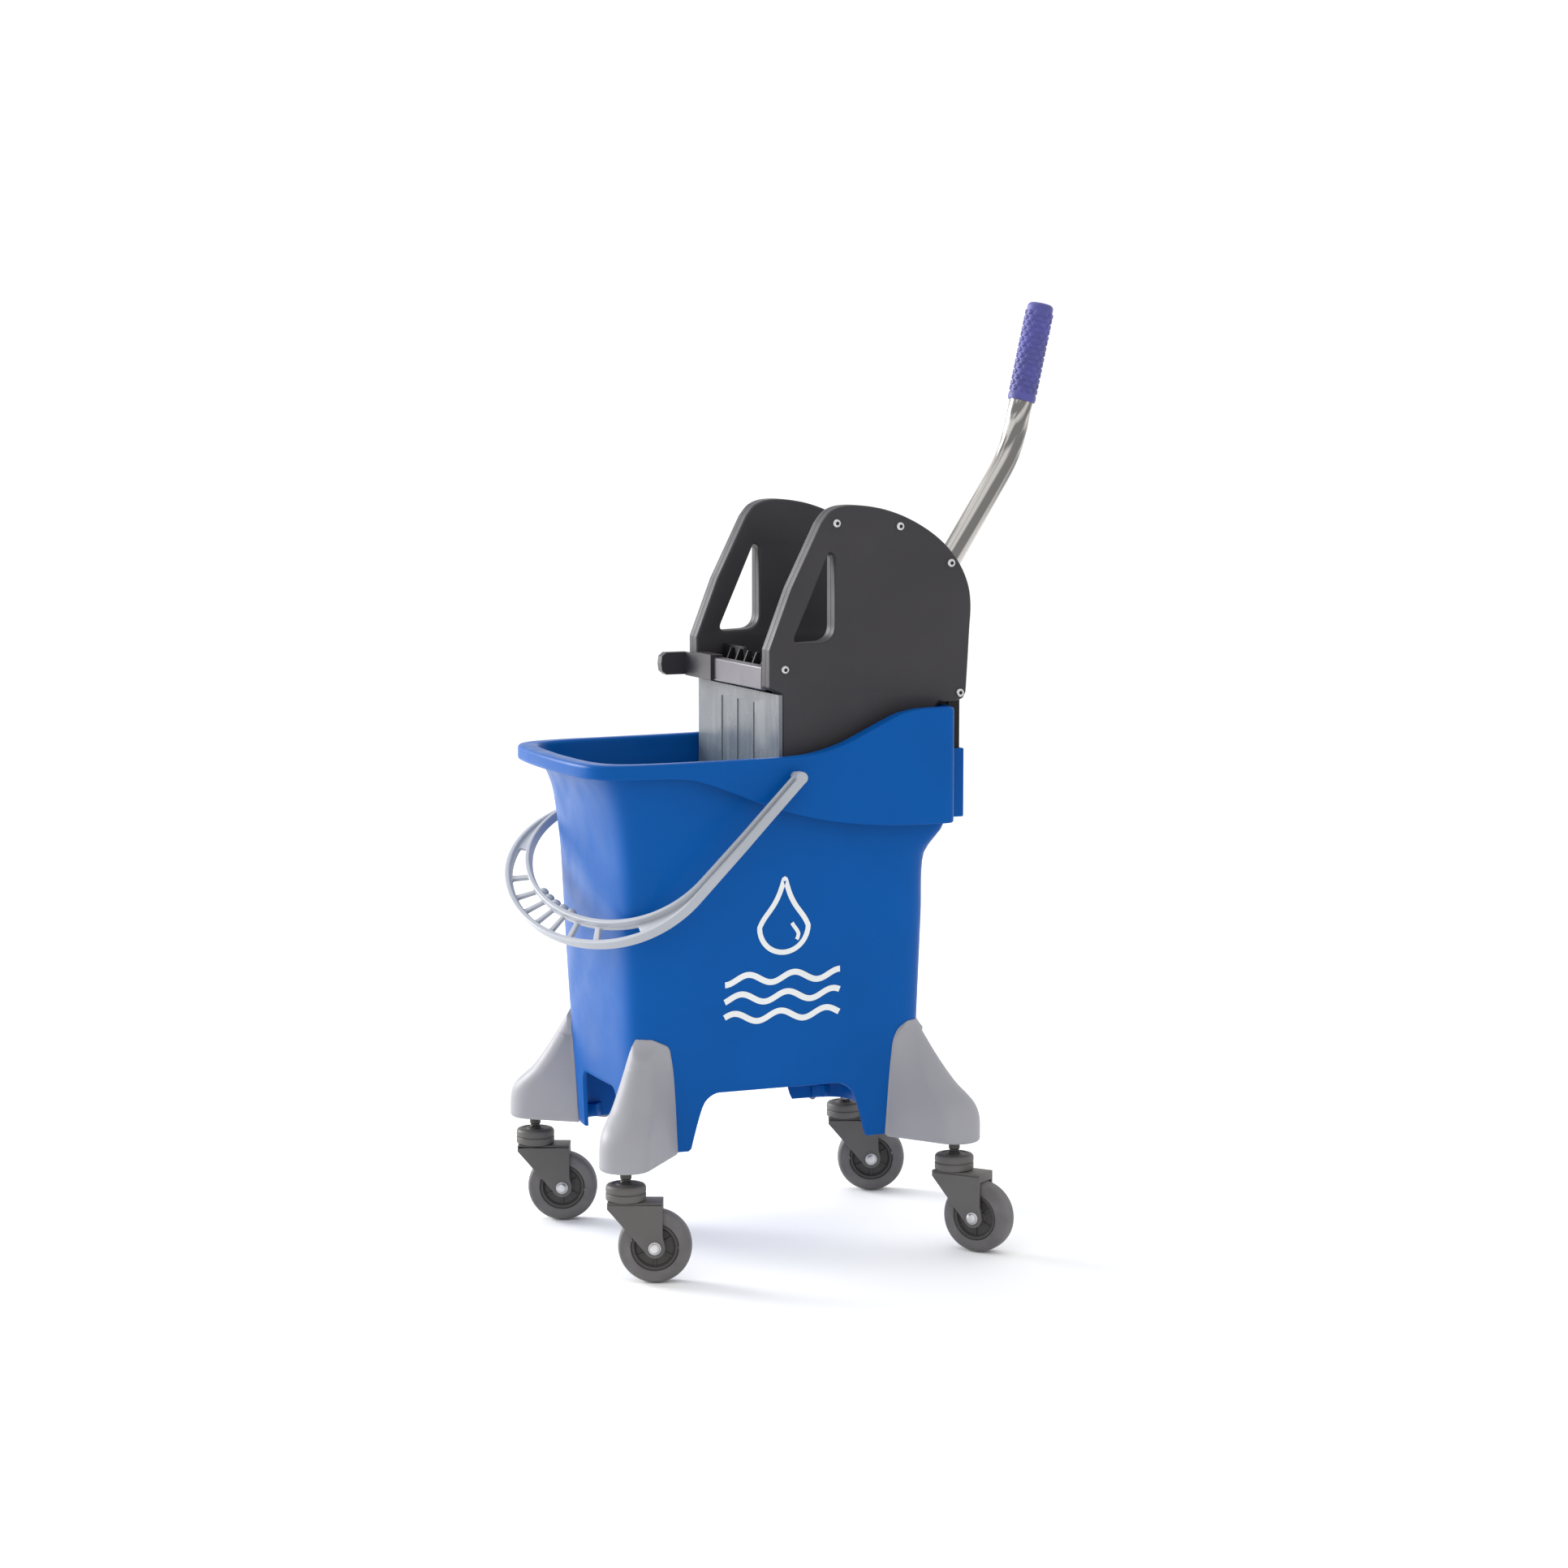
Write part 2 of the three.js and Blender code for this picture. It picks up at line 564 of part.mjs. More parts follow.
function screw(x, z) {
  const head = turned([[0, 0], [4.4, 0], [3.2, 2.4], [0, 2.4]], 10);
  const made = join(head, rod(0, 0, -17, 0.2, 2.2, 8));
  const recessed = cut(made, rod(0, 0, 1.2, 5, 1.7, 6));
  return recessed.rotate([90, 0, 0]).translate([x, -HOUSE_Y - GAP, z]);
}

SCREWS.forEach(([x, z], i) => {
  put(`housing_screw_near_${i + 1}`, screw(x, z), ZINC);
  put(`housing_screw_far_${i + 1}`, mirrorY(screw(x, z)), ZINC);
});

// ---------------------------------------------------------------- wringer front, floor and back

const INNER = HOUSE_Y - HOUSE_T - GAP;

function frontPanel() {
  const sheet = box(-3.5, 0.7, -HOUSE_Y + 1, HOUSE_Y - 1, 447, 587.5);
  const ridges = [-45, 0, 45].map((y) => box(-4.5, -3, y - 1.5, y + 1.5, 470, 575));
  return join(sheet, ...ridges);
}

function lipBar() {
  return join(box(-14, -1.5, -INNER, INNER, 591, 615), box(-1.6, 12, -INNER, INNER, 591, 595));
}

function mopRest() {
  const strap = join(box(-18, -14.3, 41, HOUSE_Y + 1, 591, 616), box(-18, -4, 41, INNER, 615.3, 618));
  const tab = [[-14.6, 592], [-40, 592], [-45, 596], [-46, 604], [-45, 612], [-40, 616], [-14.6, 616]];
  return join(strap, slab(tab, HOUSE_Y + 0.4, HOUSE_Y + 12));
}

function grid() {
  const top = [[-INNER, 449], [INNER, 449], [INNER, 626], [33, 626], [27, 617], [-27, 617], [-33, 626], [-INNER, 626]];
  let plate = slabX(top, 16, 20);
  for (const y of [-84, -60, -36, -12, 12, 36, 60, 84]) {
    plate = join(plate, slab([[2, 595.4], [2, 597], [13, 624], [17, 624], [17, 595.4]], y - 1.5, y + 1.5));
    plate = join(plate, slab([[2, 450], [17, 450], [17, 590.7], [2, 590.7]], y - 1.5, y + 1.5));
  }
  for (const y of [-72, -48, -24, 0, 24, 48, 72]) {
    for (const z of [470, 512, 554]) plate = cut(plate, box(10, 30, y - 4, y + 4, z, z + 28));
  }
  return plate;
}

function floorGrid() {
  let plate = box(20.4, 167.6, -INNER, INNER, 438, 442);
  for (const x of [32, 56, 94, 118, 142]) {
    for (const y of [-62, 0, 62]) plate = cut(plate, box(x, x + 12, y - 18, y + 18, 430, 450));
  }
  const stiffeners = [-31, 31].map((y) => box(20.4, 167.6, y - 1.5, y + 1.5, 432, 439));
  return join(plate, box(1.2, 21, -INNER, INNER, 438, 442), ...stiffeners);
}

function backPanel() {
  const sheet = box(198, 211.8, -INNER, INNER, 456, 600);
  const room = box(190, 207.8, -INNER + 5, INNER - 5, 440, 596);
  const bridge = box(187, 211.8, -INNER, INNER, 575, 581);
  const leverStop = box(177.2, 188, -24, 24, 575, 581);
  return join(cut(sheet, room), bridge, leverStop);
}

put('wringer_front_panel', frontPanel(), PANEL_GREY);
put('wringer_lip_bar', lipBar(), DARK_GREY);
put('mop_rest_bracket', mopRest(), DARK_GREY);
put('wringer_press_grid', grid(), DARK_GREY);
put('wringer_floor_grid', floorGrid(), DARK_GREY);
put('wringer_back_hook', backPanel(), DARK_GREY);

// ---------------------------------------------------------------- jaw and lever

// built upright over the jaw pivot, then leant back
function leaned(manifold) {
  return manifold.rotate([0, LEVER_DEG, 0]).translate([JAW_X, 0, JAW_Z]);
}

function jaw() {
  const w = INNER - 2;
  let plate = join(box(-22, -18, -w, w, -4, 150), box(-22, -6, -w, -w + 4, -4, 150), box(-22, -6, w - 4, w, -4, 150),
    box(-22, -6, -w, w, 146, 150), box(-22, 0, -w, w, -4, 2));
  plate = join(plate, pin(0, 0, -w, w, 11, 24));
  for (const y of [-66, -44, -22, 22, 44, 66]) plate = join(plate, box(-19, -8, y - 1.5, y + 1.5, 0, 148));
  for (const y of [-77, -55, -33, 33, 55, 77]) {
    for (const z of [24, 66, 108]) plate = cut(plate, box(-30, -10, y - 4, y + 4, z, z + 28));
  }
  const room = rod(0, 0, 17.7, 200, 17.3, 24);
  return cut(plate, room, pin(0, 0, -100, 100, 6.3, 20));
}

function socket() {
  const sleeve = cut(rod(0, 0, 18, SOCKET_END, 17, 24), rod(0, 0, 34, 200, TUBE_R + GAP, 24));
  return cut(sleeve, pin(0, BOLT_S, -30, 30, 3.3, 12));
}

const LEVER_ANGLE = THREE.MathUtils.degToRad(LEVER_DEG);
const BEND_S = (806 - JAW_Z) / Math.cos(LEVER_ANGLE);

function leverPath(s0, s1) {
  // straight along the lean, then a bend, then nearly upright
  const along = (s) => new THREE.Vector3(JAW_X + s * Math.sin(LEVER_ANGLE), 0, JAW_Z + s * Math.cos(LEVER_ANGLE));
  const bendStart = along(BEND_S);
  const bendEnd = new THREE.Vector3(321.5, 0, 864);
  const top = new THREE.Vector3(349.5, 0, 989.5);
  const up = new THREE.Vector3().subVectors(top, bendEnd).normalize();
  const lean = new THREE.Vector3(Math.sin(LEVER_ANGLE), 0, Math.cos(LEVER_ANGLE));
  const path = new THREE.CurvePath();
  if (s0 < BEND_S) {
    path.add(new THREE.LineCurve3(along(s0), bendStart));
    const reach = bendStart.distanceTo(bendEnd) * 0.36;
    path.add(new THREE.CubicBezierCurve3(bendStart, bendStart.clone().addScaledVector(lean, reach),
      bendEnd.clone().addScaledVector(up, -reach), bendEnd));
  }
  if (s1 > 0) path.add(new THREE.LineCurve3(bendEnd, bendEnd.clone().addScaledVector(up, s1)));
  return path;
}

function sweep(path, radius, sides, steps) {
  const ring = new THREE.Shape();
  ring.absarc(0, 0, radius, 0, Math.PI * 2, false);
  return solid(new THREE.ExtrudeGeometry(ring, { extrudePath: path, steps, curveSegments: sides / 2 }));
}

// straight cylinder along the upper part of the lever, from distance a to distance b past the bend
function upper(a, b, radius, sides) {
  const end = new THREE.Vector3(321.5, 0, 864);
  const top = new THREE.Vector3(349.5, 0, 989.5);
  const up = new THREE.Vector3().subVectors(top, end).normalize();
  const g = new THREE.CylinderGeometry(radius, radius, b - a, sides);
  g.rotateX(Math.PI / 2);
  g.rotateY(Math.atan2(up.x, up.z));
  const mid = end.clone().addScaledVector(up, (a + b) / 2);
  g.translate(mid.x, mid.y, mid.z);
  return solid(g);
}

function leverTube() {
  const outer = sweep(leverPath(35, 118), TUBE_R, 16, 12);
  const inner = sweep(leverPath(33, 120), TUBE_R - 1.8, 12, 12);
  return cut(outer, inner, leaned(pin(0, BOLT_S, -30, 30, 3.3, 12)));
}

function grip() {
  return cut(upper(22, 128.6, GRIP_R, 24), upper(10, 122, TUBE_R + GAP, 24));
}

put('wringer_jaw', leaned(jaw()), DARK_GREY);
put('lever_socket', leaned(socket()), DARK_GREY);
put('lever_tube', leverTube(), CHROME);
put('lever_grip', grip(), GRIP_BLUE);
put('lever_bolt', leaned(join(pin(0, BOLT_S, -20, 20, 3, 12), pin(0, BOLT_S, -20.5, -17.4, 5.5, 12),
  pin(0, BOLT_S, 17.4, 20.5, 5.5, 6))), ZINC);
put('jaw_shaft', pin(JAW_X, JAW_Z, -HOUSE_Y + SHELL_T + 3, HOUSE_Y - SHELL_T - 3, 6, 20), ZINC);
const bush = cut(pin(JAW_X, JAW_Z, -HOUSE_Y + SHELL_T + 1, -HOUSE_Y + HOUSE_T + 1.2, 9, 24),
  pin(JAW_X, JAW_Z, -200, 200, 6.3, 20));
put('jaw_bush_near', bush, LIGHT_GREY);
put('jaw_bush_far', mirrorY(bush), LIGHT_GREY);

whole.position.set(-ORIGIN_X, -ORIGIN_Y, 0);

export default object;
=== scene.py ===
"""Mop bucket with a press wringer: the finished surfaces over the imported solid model."""

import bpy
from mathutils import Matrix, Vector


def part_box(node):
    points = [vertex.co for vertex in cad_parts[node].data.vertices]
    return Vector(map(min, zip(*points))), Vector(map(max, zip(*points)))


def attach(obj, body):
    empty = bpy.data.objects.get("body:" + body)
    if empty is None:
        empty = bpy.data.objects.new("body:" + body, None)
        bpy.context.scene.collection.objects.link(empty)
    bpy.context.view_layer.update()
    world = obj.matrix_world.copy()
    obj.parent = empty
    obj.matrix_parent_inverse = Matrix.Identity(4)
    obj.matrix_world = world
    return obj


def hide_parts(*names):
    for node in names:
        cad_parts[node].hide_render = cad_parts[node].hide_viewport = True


bl_info = {
    "name": "Mop Bucket And Wringer",
    "version": (1, 0, 0),
    "blender": (4, 5, 0),
    "location": "View3D > Sidebar > Mop Bucket",
    "description": "Builds the moulded, turned and bent pieces of a wheeled mop bucket with a press wringer",
    "category": "Object",
}

import math

import bmesh
import bpy
from mathutils import Matrix, Vector

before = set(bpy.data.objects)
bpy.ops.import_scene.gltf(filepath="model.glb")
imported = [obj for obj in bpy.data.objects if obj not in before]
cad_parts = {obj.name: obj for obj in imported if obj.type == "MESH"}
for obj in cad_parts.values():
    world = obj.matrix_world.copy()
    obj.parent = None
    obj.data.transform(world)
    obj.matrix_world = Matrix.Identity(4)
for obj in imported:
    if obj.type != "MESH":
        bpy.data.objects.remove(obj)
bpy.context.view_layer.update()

MM = 0.001
CORNERS = ("front_near", "front_far", "rear_near", "rear_far")


def middle(node):
    low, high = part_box(node)
    return (low + high) / 2


# the middle of the four caster stems, on the floor, is the drawing's own zero point
STEMS = {c: middle(f"caster_stem_{c}") for c in CORNERS}
ZERO = sum(STEMS.values(), Vector()) / 4
ZERO.z = 0.0


def at(x, y, z):
    """A drawing position in millimetres, as a place in the frame."""
    return Vector((x * MM, y * MM, z * MM)) + ZERO


# ---------------------------------------------------------------- sizes and colours

MM_UNIT = {"unit": "LENGTH", "subtype": "DISTANCE"}


def colour_property(name, description, default):
    return bpy.props.FloatVectorProperty(name=name, description=description, default=default,
                                         subtype="COLOR")


class BucketSizes(bpy.types.PropertyGroup):
    around: bpy.props.IntProperty(
        name="Steps Around", description="Steps around the bucket's wall", default=432, min=48
    )
    wall: bpy.props.FloatProperty(
        name="Wall", description="Thickness of the moulded wall", default=4 * MM, **MM_UNIT
    )
    blue: colour_property("Blue", "Colour of the bucket", (0.0, 0.076, 0.312))
    mark: colour_property("Mark", "Colour of the printed water mark", (0.72, 0.74, 0.74))


class TrimSizes(bpy.types.PropertyGroup):
    light_grey: colour_property("Light Grey", "Colour of the corner feet", (0.29, 0.29, 0.315))
    bail_grey: colour_property("Bail Grey", "Colour of the carrying bail", (0.36, 0.38, 0.42))
    caster_grey: colour_property("Caster Grey", "Colour of the caster forks", (0.098, 0.094, 0.092))
    tyre_grey: colour_property("Tyre Grey", "Colour of the tyres", (0.105, 0.10, 0.102))


class WringerSizes(bpy.types.PropertyGroup):
    dark_grey: colour_property("Dark Grey", "Colour of the wringer's housings", (0.030, 0.028, 0.033))
    panel_grey: colour_property("Panel Grey", "Colour of the splash panel", (0.115, 0.119, 0.127))
    grip_blue: colour_property("Grip Blue", "Colour of the rubber grip", (0.055, 0.055, 0.25))
    edge: bpy.props.FloatProperty(
        name="Edge Radius", description="Rounding of the moulded edges", default=1.4 * MM, **MM_UNIT
    )


class StageSizes(bpy.types.PropertyGroup):
    floor: bpy.props.FloatProperty(
        name="Floor", description="Width of the pale floor", default=24.0, **MM_UNIT
    )
    lens: bpy.props.FloatProperty(
        name="Lens", description="Focal length of the camera, in millimetres", default=79.84
    )


# ---------------------------------------------------------------- surfaces


def surface(name, colour, roughness, metallic=0.0):
    mat = bpy.data.materials.new(name)
    mat.use_nodes = True
    shader = mat.node_tree.nodes["Principled BSDF"]
    shader.inputs["Base Color"].default_value = (*colour, 1)
    shader.inputs["Roughness"].default_value = roughness
    shader.inputs["Metallic"].default_value = metallic
    mat.diffuse_color = (*colour, 1)
    return mat, mat.node_tree, shader


def grain(tree, scale, detail=2.0, stretch=(1, 1, 1), seed=0.0):
    """Noise laid through the piece, with its scale in turns a metre."""
    where = tree.nodes.new("ShaderNodeTexCoord")
    turn = tree.nodes.new("ShaderNodeMapping")
    turn.inputs["Scale"].default_value = stretch
    turn.inputs["Location"].default_value = (seed, seed * 1.7, seed * 0.6)
    tex = tree.nodes.new("ShaderNodeTexNoise")
    tex.inputs["Scale"].default_value = scale
    tex.inputs["Detail"].default_value = detail
    tree.links.new(where.outputs["Object"], turn.inputs["Vector"])
    tree.links.new(turn.outputs["Vector"], tex.inputs["Vector"])
    return tex.outputs["Fac"]


def spread(tree, value, low, high, start=0.3, end=0.7):
    ramp = tree.nodes.new("ShaderNodeMapRange")
    ramp.inputs["From Min"].default_value = start
    ramp.inputs["From Max"].default_value = end
    ramp.inputs["To Min"].default_value = low
    ramp.inputs["To Max"].default_value = high
    tree.links.new(value, ramp.inputs["Value"])
    return ramp.outputs["Result"]


def tint(tree, value, first, second, start=0.35, end=0.65):
    ramp = tree.nodes.new("ShaderNodeValToRGB")
    ramp.color_ramp.elements[0].position = start
    ramp.color_ramp.elements[0].color = (*first, 1)
    ramp.color_ramp.elements[1].position = end
    ramp.color_ramp.elements[1].color = (*second, 1)
    tree.links.new(value, ramp.inputs["Fac"])
    return ramp.outputs["Color"]


def relief(tree, shader, *layers):
    """Bumps laid one on another: each layer is a value, a height in metres and a strength."""
    below = None
    for value, height, strength in layers:
        bump = tree.nodes.new("ShaderNodeBump")
        bump.inputs["Distance"].default_value = height
        bump.inputs["Strength"].default_value = strength
        tree.links.new(value, bump.inputs["Height"])
        if below is not None:
            tree.links.new(below, bump.inputs["Normal"])
        below = bump.outputs["Normal"]
    tree.links.new(below, shader.inputs["Normal"])


def shade(colour, factor):
    return tuple(min(1.0, c * factor) for c in colour)


def moulded_plastic(name, colour, roughness, coarse=900.0, depth=0.00012, cloud=0.1, gloss=0.3):
    """Moulded plastic: a fine spark-eroded grain, slow gloss changes and faint handling scratches."""
    mat, tree, shader = surface(name, colour, roughness)
    clouds = grain(tree, 9.0, 3.0)
    tree.links.new(tint(tree, clouds, shade(colour, 1 - cloud), shade(colour, 1 + cloud)),
                   shader.inputs["Base Color"])
    smears = grain(tree, 34.0, 4.0, seed=3.1)
    tree.links.new(spread(tree, smears, roughness - 0.05, roughness + 0.07), shader.inputs["Roughness"])
    skin = grain(tree, coarse, 3.0, seed=1.3)
    scratches = grain(tree, 240.0, 5.0, stretch=(1, 1, 0.06), seed=7.7)
    peel = grain(tree, 70.0, 1.0, seed=5.0)
    relief(tree, shader, (skin, depth, 0.35), (scratches, 0.00008, 0.12), (peel, 0.0006, 0.06))
    shader.inputs["Specular IOR Level"].default_value = gloss
    return mat


def streaks_and_painted_shade(mat, high, low, top, bottom, pale):
    """Paints shade on a plastic from one height to another, lighter above and darker below, with pale streaks
    running down it.
    """
    tree = mat.node_tree
    shader = tree.nodes["Principled BSDF"]
    where = tree.nodes.new("ShaderNodeTexCoord")
    apart = tree.nodes.new("ShaderNodeSeparateXYZ")
    tree.links.new(where.outputs["Object"], apart.inputs["Vector"])
    # painted shade: the colour goes from the darker bottom colour at the low height to the lighter top colour
    # at the high height
    painted_shade_fade = tint(tree, spread(tree, apart.outputs["Z"], 0.0, 1.0, low, high), bottom, top, 0.0, 1.0)
    runs = spread(tree, grain(tree, 75.0, 5.0, stretch=(1, 1, 0.13), seed=11.0), 0.0, 0.75, 0.5, 0.74)
    mix = tree.nodes.new("ShaderNodeMix")
    mix.data_type = "RGBA"
    tree.links.new(runs, mix.inputs["Factor"])
    tree.links.new(painted_shade_fade, mix.inputs["A"])
    mix.inputs["B"].default_value = (*pale, 1)
    tree.links.new(mix.outputs["Result"], shader.inputs["Base Color"])
    return mat


def bright_metal(name, colour, roughness, dark=0.9, lean=0.0, pits=0.00002):
    """Plated steel: lines up its length from drawing the steel, where the length leans from upright, and dull
    patches from handling; with a low dark value, as on the chromed tube, the lines are painted reflections of
    dark surroundings.
    """
    mat, tree, shader = surface(name, colour, roughness, 1.0)
    where = tree.nodes.new("ShaderNodeTexCoord")
    upright = tree.nodes.new("ShaderNodeMapping")
    upright.inputs["Rotation"].default_value = (0, -lean, 0)
    drawn_and_reflection_stretch = tree.nodes.new("ShaderNodeMapping")
    drawn_and_reflection_stretch.inputs["Scale"].default_value = (1, 1, 0.02)
    lines = tree.nodes.new("ShaderNodeTexNoise")
    lines.inputs["Scale"].default_value = 170.0
    lines.inputs["Detail"].default_value = 2.0
    tree.links.new(where.outputs["Object"], upright.inputs["Vector"])
    tree.links.new(upright.outputs["Vector"], drawn_and_reflection_stretch.inputs["Vector"])
    tree.links.new(drawn_and_reflection_stretch.outputs["Vector"], lines.inputs["Vector"])
    dull = grain(tree, 26.0, 5.0, seed=2.0)
    tree.links.new(spread(tree, dull, roughness * 0.75, roughness * 1.7), shader.inputs["Roughness"])
    # the lines run between a darker copy of the colour and the colour; at a low dark value they are painted
    # reflections
    tree.links.new(tint(tree, lines.outputs["Fac"], shade(colour, dark), colour, 0.42, 0.56),
                   shader.inputs["Base Color"])
    relief(tree, shader, (dull, pits, 0.2))
    return mat


def soft_rubber(name, colour, roughness):
    """Matt rubber with a dusty bloom and a fine skin."""
    mat, tree, shader = surface(name, colour, roughness)
    bloom = grain(tree, 45.0, 6.0)
    tree.links.new(tint(tree, bloom, shade(colour, 0.86), shade(colour, 1.22)), shader.inputs["Base Color"])
    tree.links.new(spread(tree, bloom, roughness - 0.08, roughness + 0.1), shader.inputs["Roughness"])
    skin = grain(tree, 1500.0, 3.0, seed=4.0)
    nicks = grain(tree, 160.0, 6.0, seed=9.0)
    relief(tree, shader, (skin, 0.0001, 0.4), (nicks, 0.0002, 0.18))
    shader.inputs["Sheen Weight"].default_value = 0.08
    return mat


FINISH = {}


def finishes():
    """Every finish, made once from the colours in the panel."""
    if FINISH:
        return FINISH
    scene = bpy.context.scene
    bucket, trim, wringer = scene.mop_bucket, scene.mop_trim, scene.mop_wringer
    FINISH["blue"] = moulded_plastic("blue_polypropylene", bucket.blue, 0.34, 700.0, 0.0001, 0.05, 0.09)
    FINISH["mark"] = moulded_plastic("printed_white", bucket.mark, 0.55, 1600.0, 0.00005, 0.05, 0.3)
    FINISH["light_grey"] = moulded_plastic("light_grey_polypropylene", trim.light_grey, 0.46, 800.0,
                                           0.00012, 0.04, 0.25)
    FINISH["bail"] = moulded_plastic("bail_grey_polypropylene", trim.bail_grey, 0.36, 800.0, 0.0001, 0.05,
                                     0.4)
    FINISH["caster"] = moulded_plastic("caster_grey_nylon", trim.caster_grey, 0.5, 1000.0, 0.00012, 0.1,
                                       0.3)
    FINISH["core"] = moulded_plastic("wheel_core_nylon", shade(trim.caster_grey, 0.6), 0.5, 1000.0, 0.0001,
                                     0.12, 0.25)
    FINISH["tyre"] = soft_rubber("grey_tyre_rubber", trim.tyre_grey, 0.68)
    FINISH["dark"] = moulded_plastic("dark_grey_polypropylene", wringer.dark_grey, 0.48, 650.0, 0.00016,
                                     0.08, 0.3)
    FINISH["rest"] = moulded_plastic("rest_grey_polypropylene", shade(wringer.dark_grey, 1.1), 0.42, 650.0,
                                     0.00016, 0.08)
    FINISH["lip"] = moulded_plastic("lip_grey_polypropylene", shade(wringer.dark_grey, 3.4), 0.36, 650.0,
                                    0.00012, 0.06, 0.5)
    # a darker copy of the dark grey: the back hook's own near-black colour, and painted shade on the press
    # grid, floor grid and jaw inside the wringer
    FINISH["black_and_painted_shade"] = moulded_plastic("black_and_painted_shade_polypropylene", shade(wringer.dark_grey, 0.35), 0.5, 650.0,
                                      0.00016, 0.08, 0.2)
    panel = moulded_plastic("panel_grey_painted_shade_polypropylene", wringer.panel_grey, 0.26, 1200.0, 0.00006, 0.05,
                            0.4)
    # the splash panel's colour is painted shade: lighter at the top, darker and bluish lower down, where the
    # bucket's shade and blue light are painted in; the pale streaks are smears on it
    FINISH["panel"] = streaks_and_painted_shade(
        panel, 0.59, 0.49, shade(wringer.panel_grey, 1.35), (0.095, 0.125, 0.155),
        shade(wringer.panel_grey, 2.0)
    )
    FINISH["grip"] = soft_rubber("grip_rubber", wringer.grip_blue, 0.55)
    # the chromed tube's strong dark lines (dark 0.32) are painted reflections of dark surroundings
    FINISH["chrome"] = bright_metal("chromed_tube_steel", (0.52, 0.50, 0.48), 0.2, 0.32, LEAN)
    FINISH["zinc"] = bright_metal("zinc_plated_steel", (0.60, 0.60, 0.61), 0.34)
    # the caster stems are plated steel; their near-black colour is painted shade from the feet above them
    FINISH["stem"] = bright_metal("stem_steel_painted_shade", (0.085, 0.082, 0.080), 0.42)
    return FINISH


# ---------------------------------------------------------------- mesh tools


def piece(name, bm, finish, body, slot, replaces=(), sharp=38.0):
    """A finished object from a bmesh, riding its body."""
    mesh = bpy.data.meshes.new(name)
    bm.to_mesh(mesh)
    bm.free()
    return dress(mesh, name, finish, body, slot, replaces, sharp)


def dress(mesh, name, finish, body, slot, replaces=(), sharp=38.0):
    mesh.materials.clear()
    mesh.materials.append(finishes()[finish])
    mesh.shade_smooth()
    mesh.set_sharp_from_angle(angle=math.radians(sharp))
    obj = bpy.data.objects.new(name, mesh)
    bpy.context.scene.collection.objects.link(obj)
    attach(obj, body)
    if replaces:
        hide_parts(*replaces)
    return obj


def outward(bm):
    bmesh.ops.recalc_face_normals(bm, faces=bm.faces)
    return bm


def sheet_of(bm, around, along, place, closed=True):
    """A grid wrapped into shape: place(u, v) gives the point at u around and v along, both 0 to 1."""
    made = bmesh.ops.create_grid(bm, x_segments=around, y_segments=along, size=0.5)["verts"]
    for v in made:
        v.co = place(min(1.0, max(0.0, v.co.x + 0.5)), min(1.0, max(0.0, v.co.y + 0.5)))
    if closed:
        bmesh.ops.remove_doubles(bm, verts=made, dist=1e-7)
    return made


def close_ends(bm):
    bmesh.ops.holes_fill(bm, edges=[e for e in bm.edges if e.is_boundary], sides=0)


def smooth_table(points, x):
    """Smooth curve through (x, value) points, in rising x."""
    if x <= points[0][0]:
        return points[0][1]
    if x >= points[-1][0]:
        return points[-1][1]
    for i in range(len(points) - 1):
        if x <= points[i + 1][0]:
            break
    x0, y0 = points[i]
    x1, y1 = points[i + 1]
    before = points[max(0, i - 1)]
    after = points[min(len(points) - 1, i + 2)]
    m0 = (y1 - before[1]) / (x1 - before[0])
    m1 = (after[1] - y0) / (after[0] - x0)
    h = x1 - x0
    t = (x - x0) / h
    if (y1 - y0) == 0:
        m0 = m1 = 0
    return (
        (2 * t**3 - 3 * t**2 + 1) * y0
        + (t**3 - 2 * t**2 + t) * h * m0
        + (-2 * t**3 + 3 * t**2) * y1
        + (t**3 - t**2) * h * m1
    )


def swept(bm, path, section, around):
    """A bar along a path of points, where section(u, v) gives offsets sideways and up."""
    n = len(path) - 1

    def place(u, v):
        f = v * n
        i = min(int(round(f)), n)
        p = path[i]
        a = path[max(0, i - 1)]
        b = path[min(n, i + 1)]
        along = (b - a).normalized()
        side = along.cross(up_at).normalized()
        up = side.cross(along).normalized()
        x, y = section(u, v)
        return p + side * x + up * y

    up_at = swept.up
    sheet_of(bm, around, n, place)
    close_ends(bm)


swept.up = Vector((0, 1, 0))


def turned(bm, profile, centre, axis, steps=96):
    """A round piece: profile is [(radius, height)] about the axis, turned a full circle."""
    axis = axis.normalized()
    side = axis.orthogonal().normalized()
    verts = [bm.verts.new(centre + side * r + axis * h) for r, h in profile]
    edges = [bm.edges.new((a, b)) for a, b in zip(verts, verts[1:])]
    bmesh.ops.spin(
        bm, geom=verts + edges, cent=centre, axis=axis, dvec=(0, 0, 0), angle=math.tau, steps=steps,
        use_merge=True
    )
    bmesh.ops.remove_doubles(bm, verts=bm.verts, dist=1e-7)
    return outward(bm)


def block(bm, low, high, edge=0.0, segments=3):
    """A box between two corners, with its edges rounded."""
    made = bmesh.ops.create_cube(bm, size=1.0)["verts"]
    centre, size = (low + high) / 2, high - low
    for v in made:
        v.co = Vector(v.co[i] * size[i] + centre[i] for i in range(3))
    if edge:
        edges = {e for v in made for e in v.link_edges}
        bmesh.ops.bevel(
            bm, geom=list(edges), offset=edge, segments=segments, profile=0.5, affect="EDGES", material=-1
        )
    return made


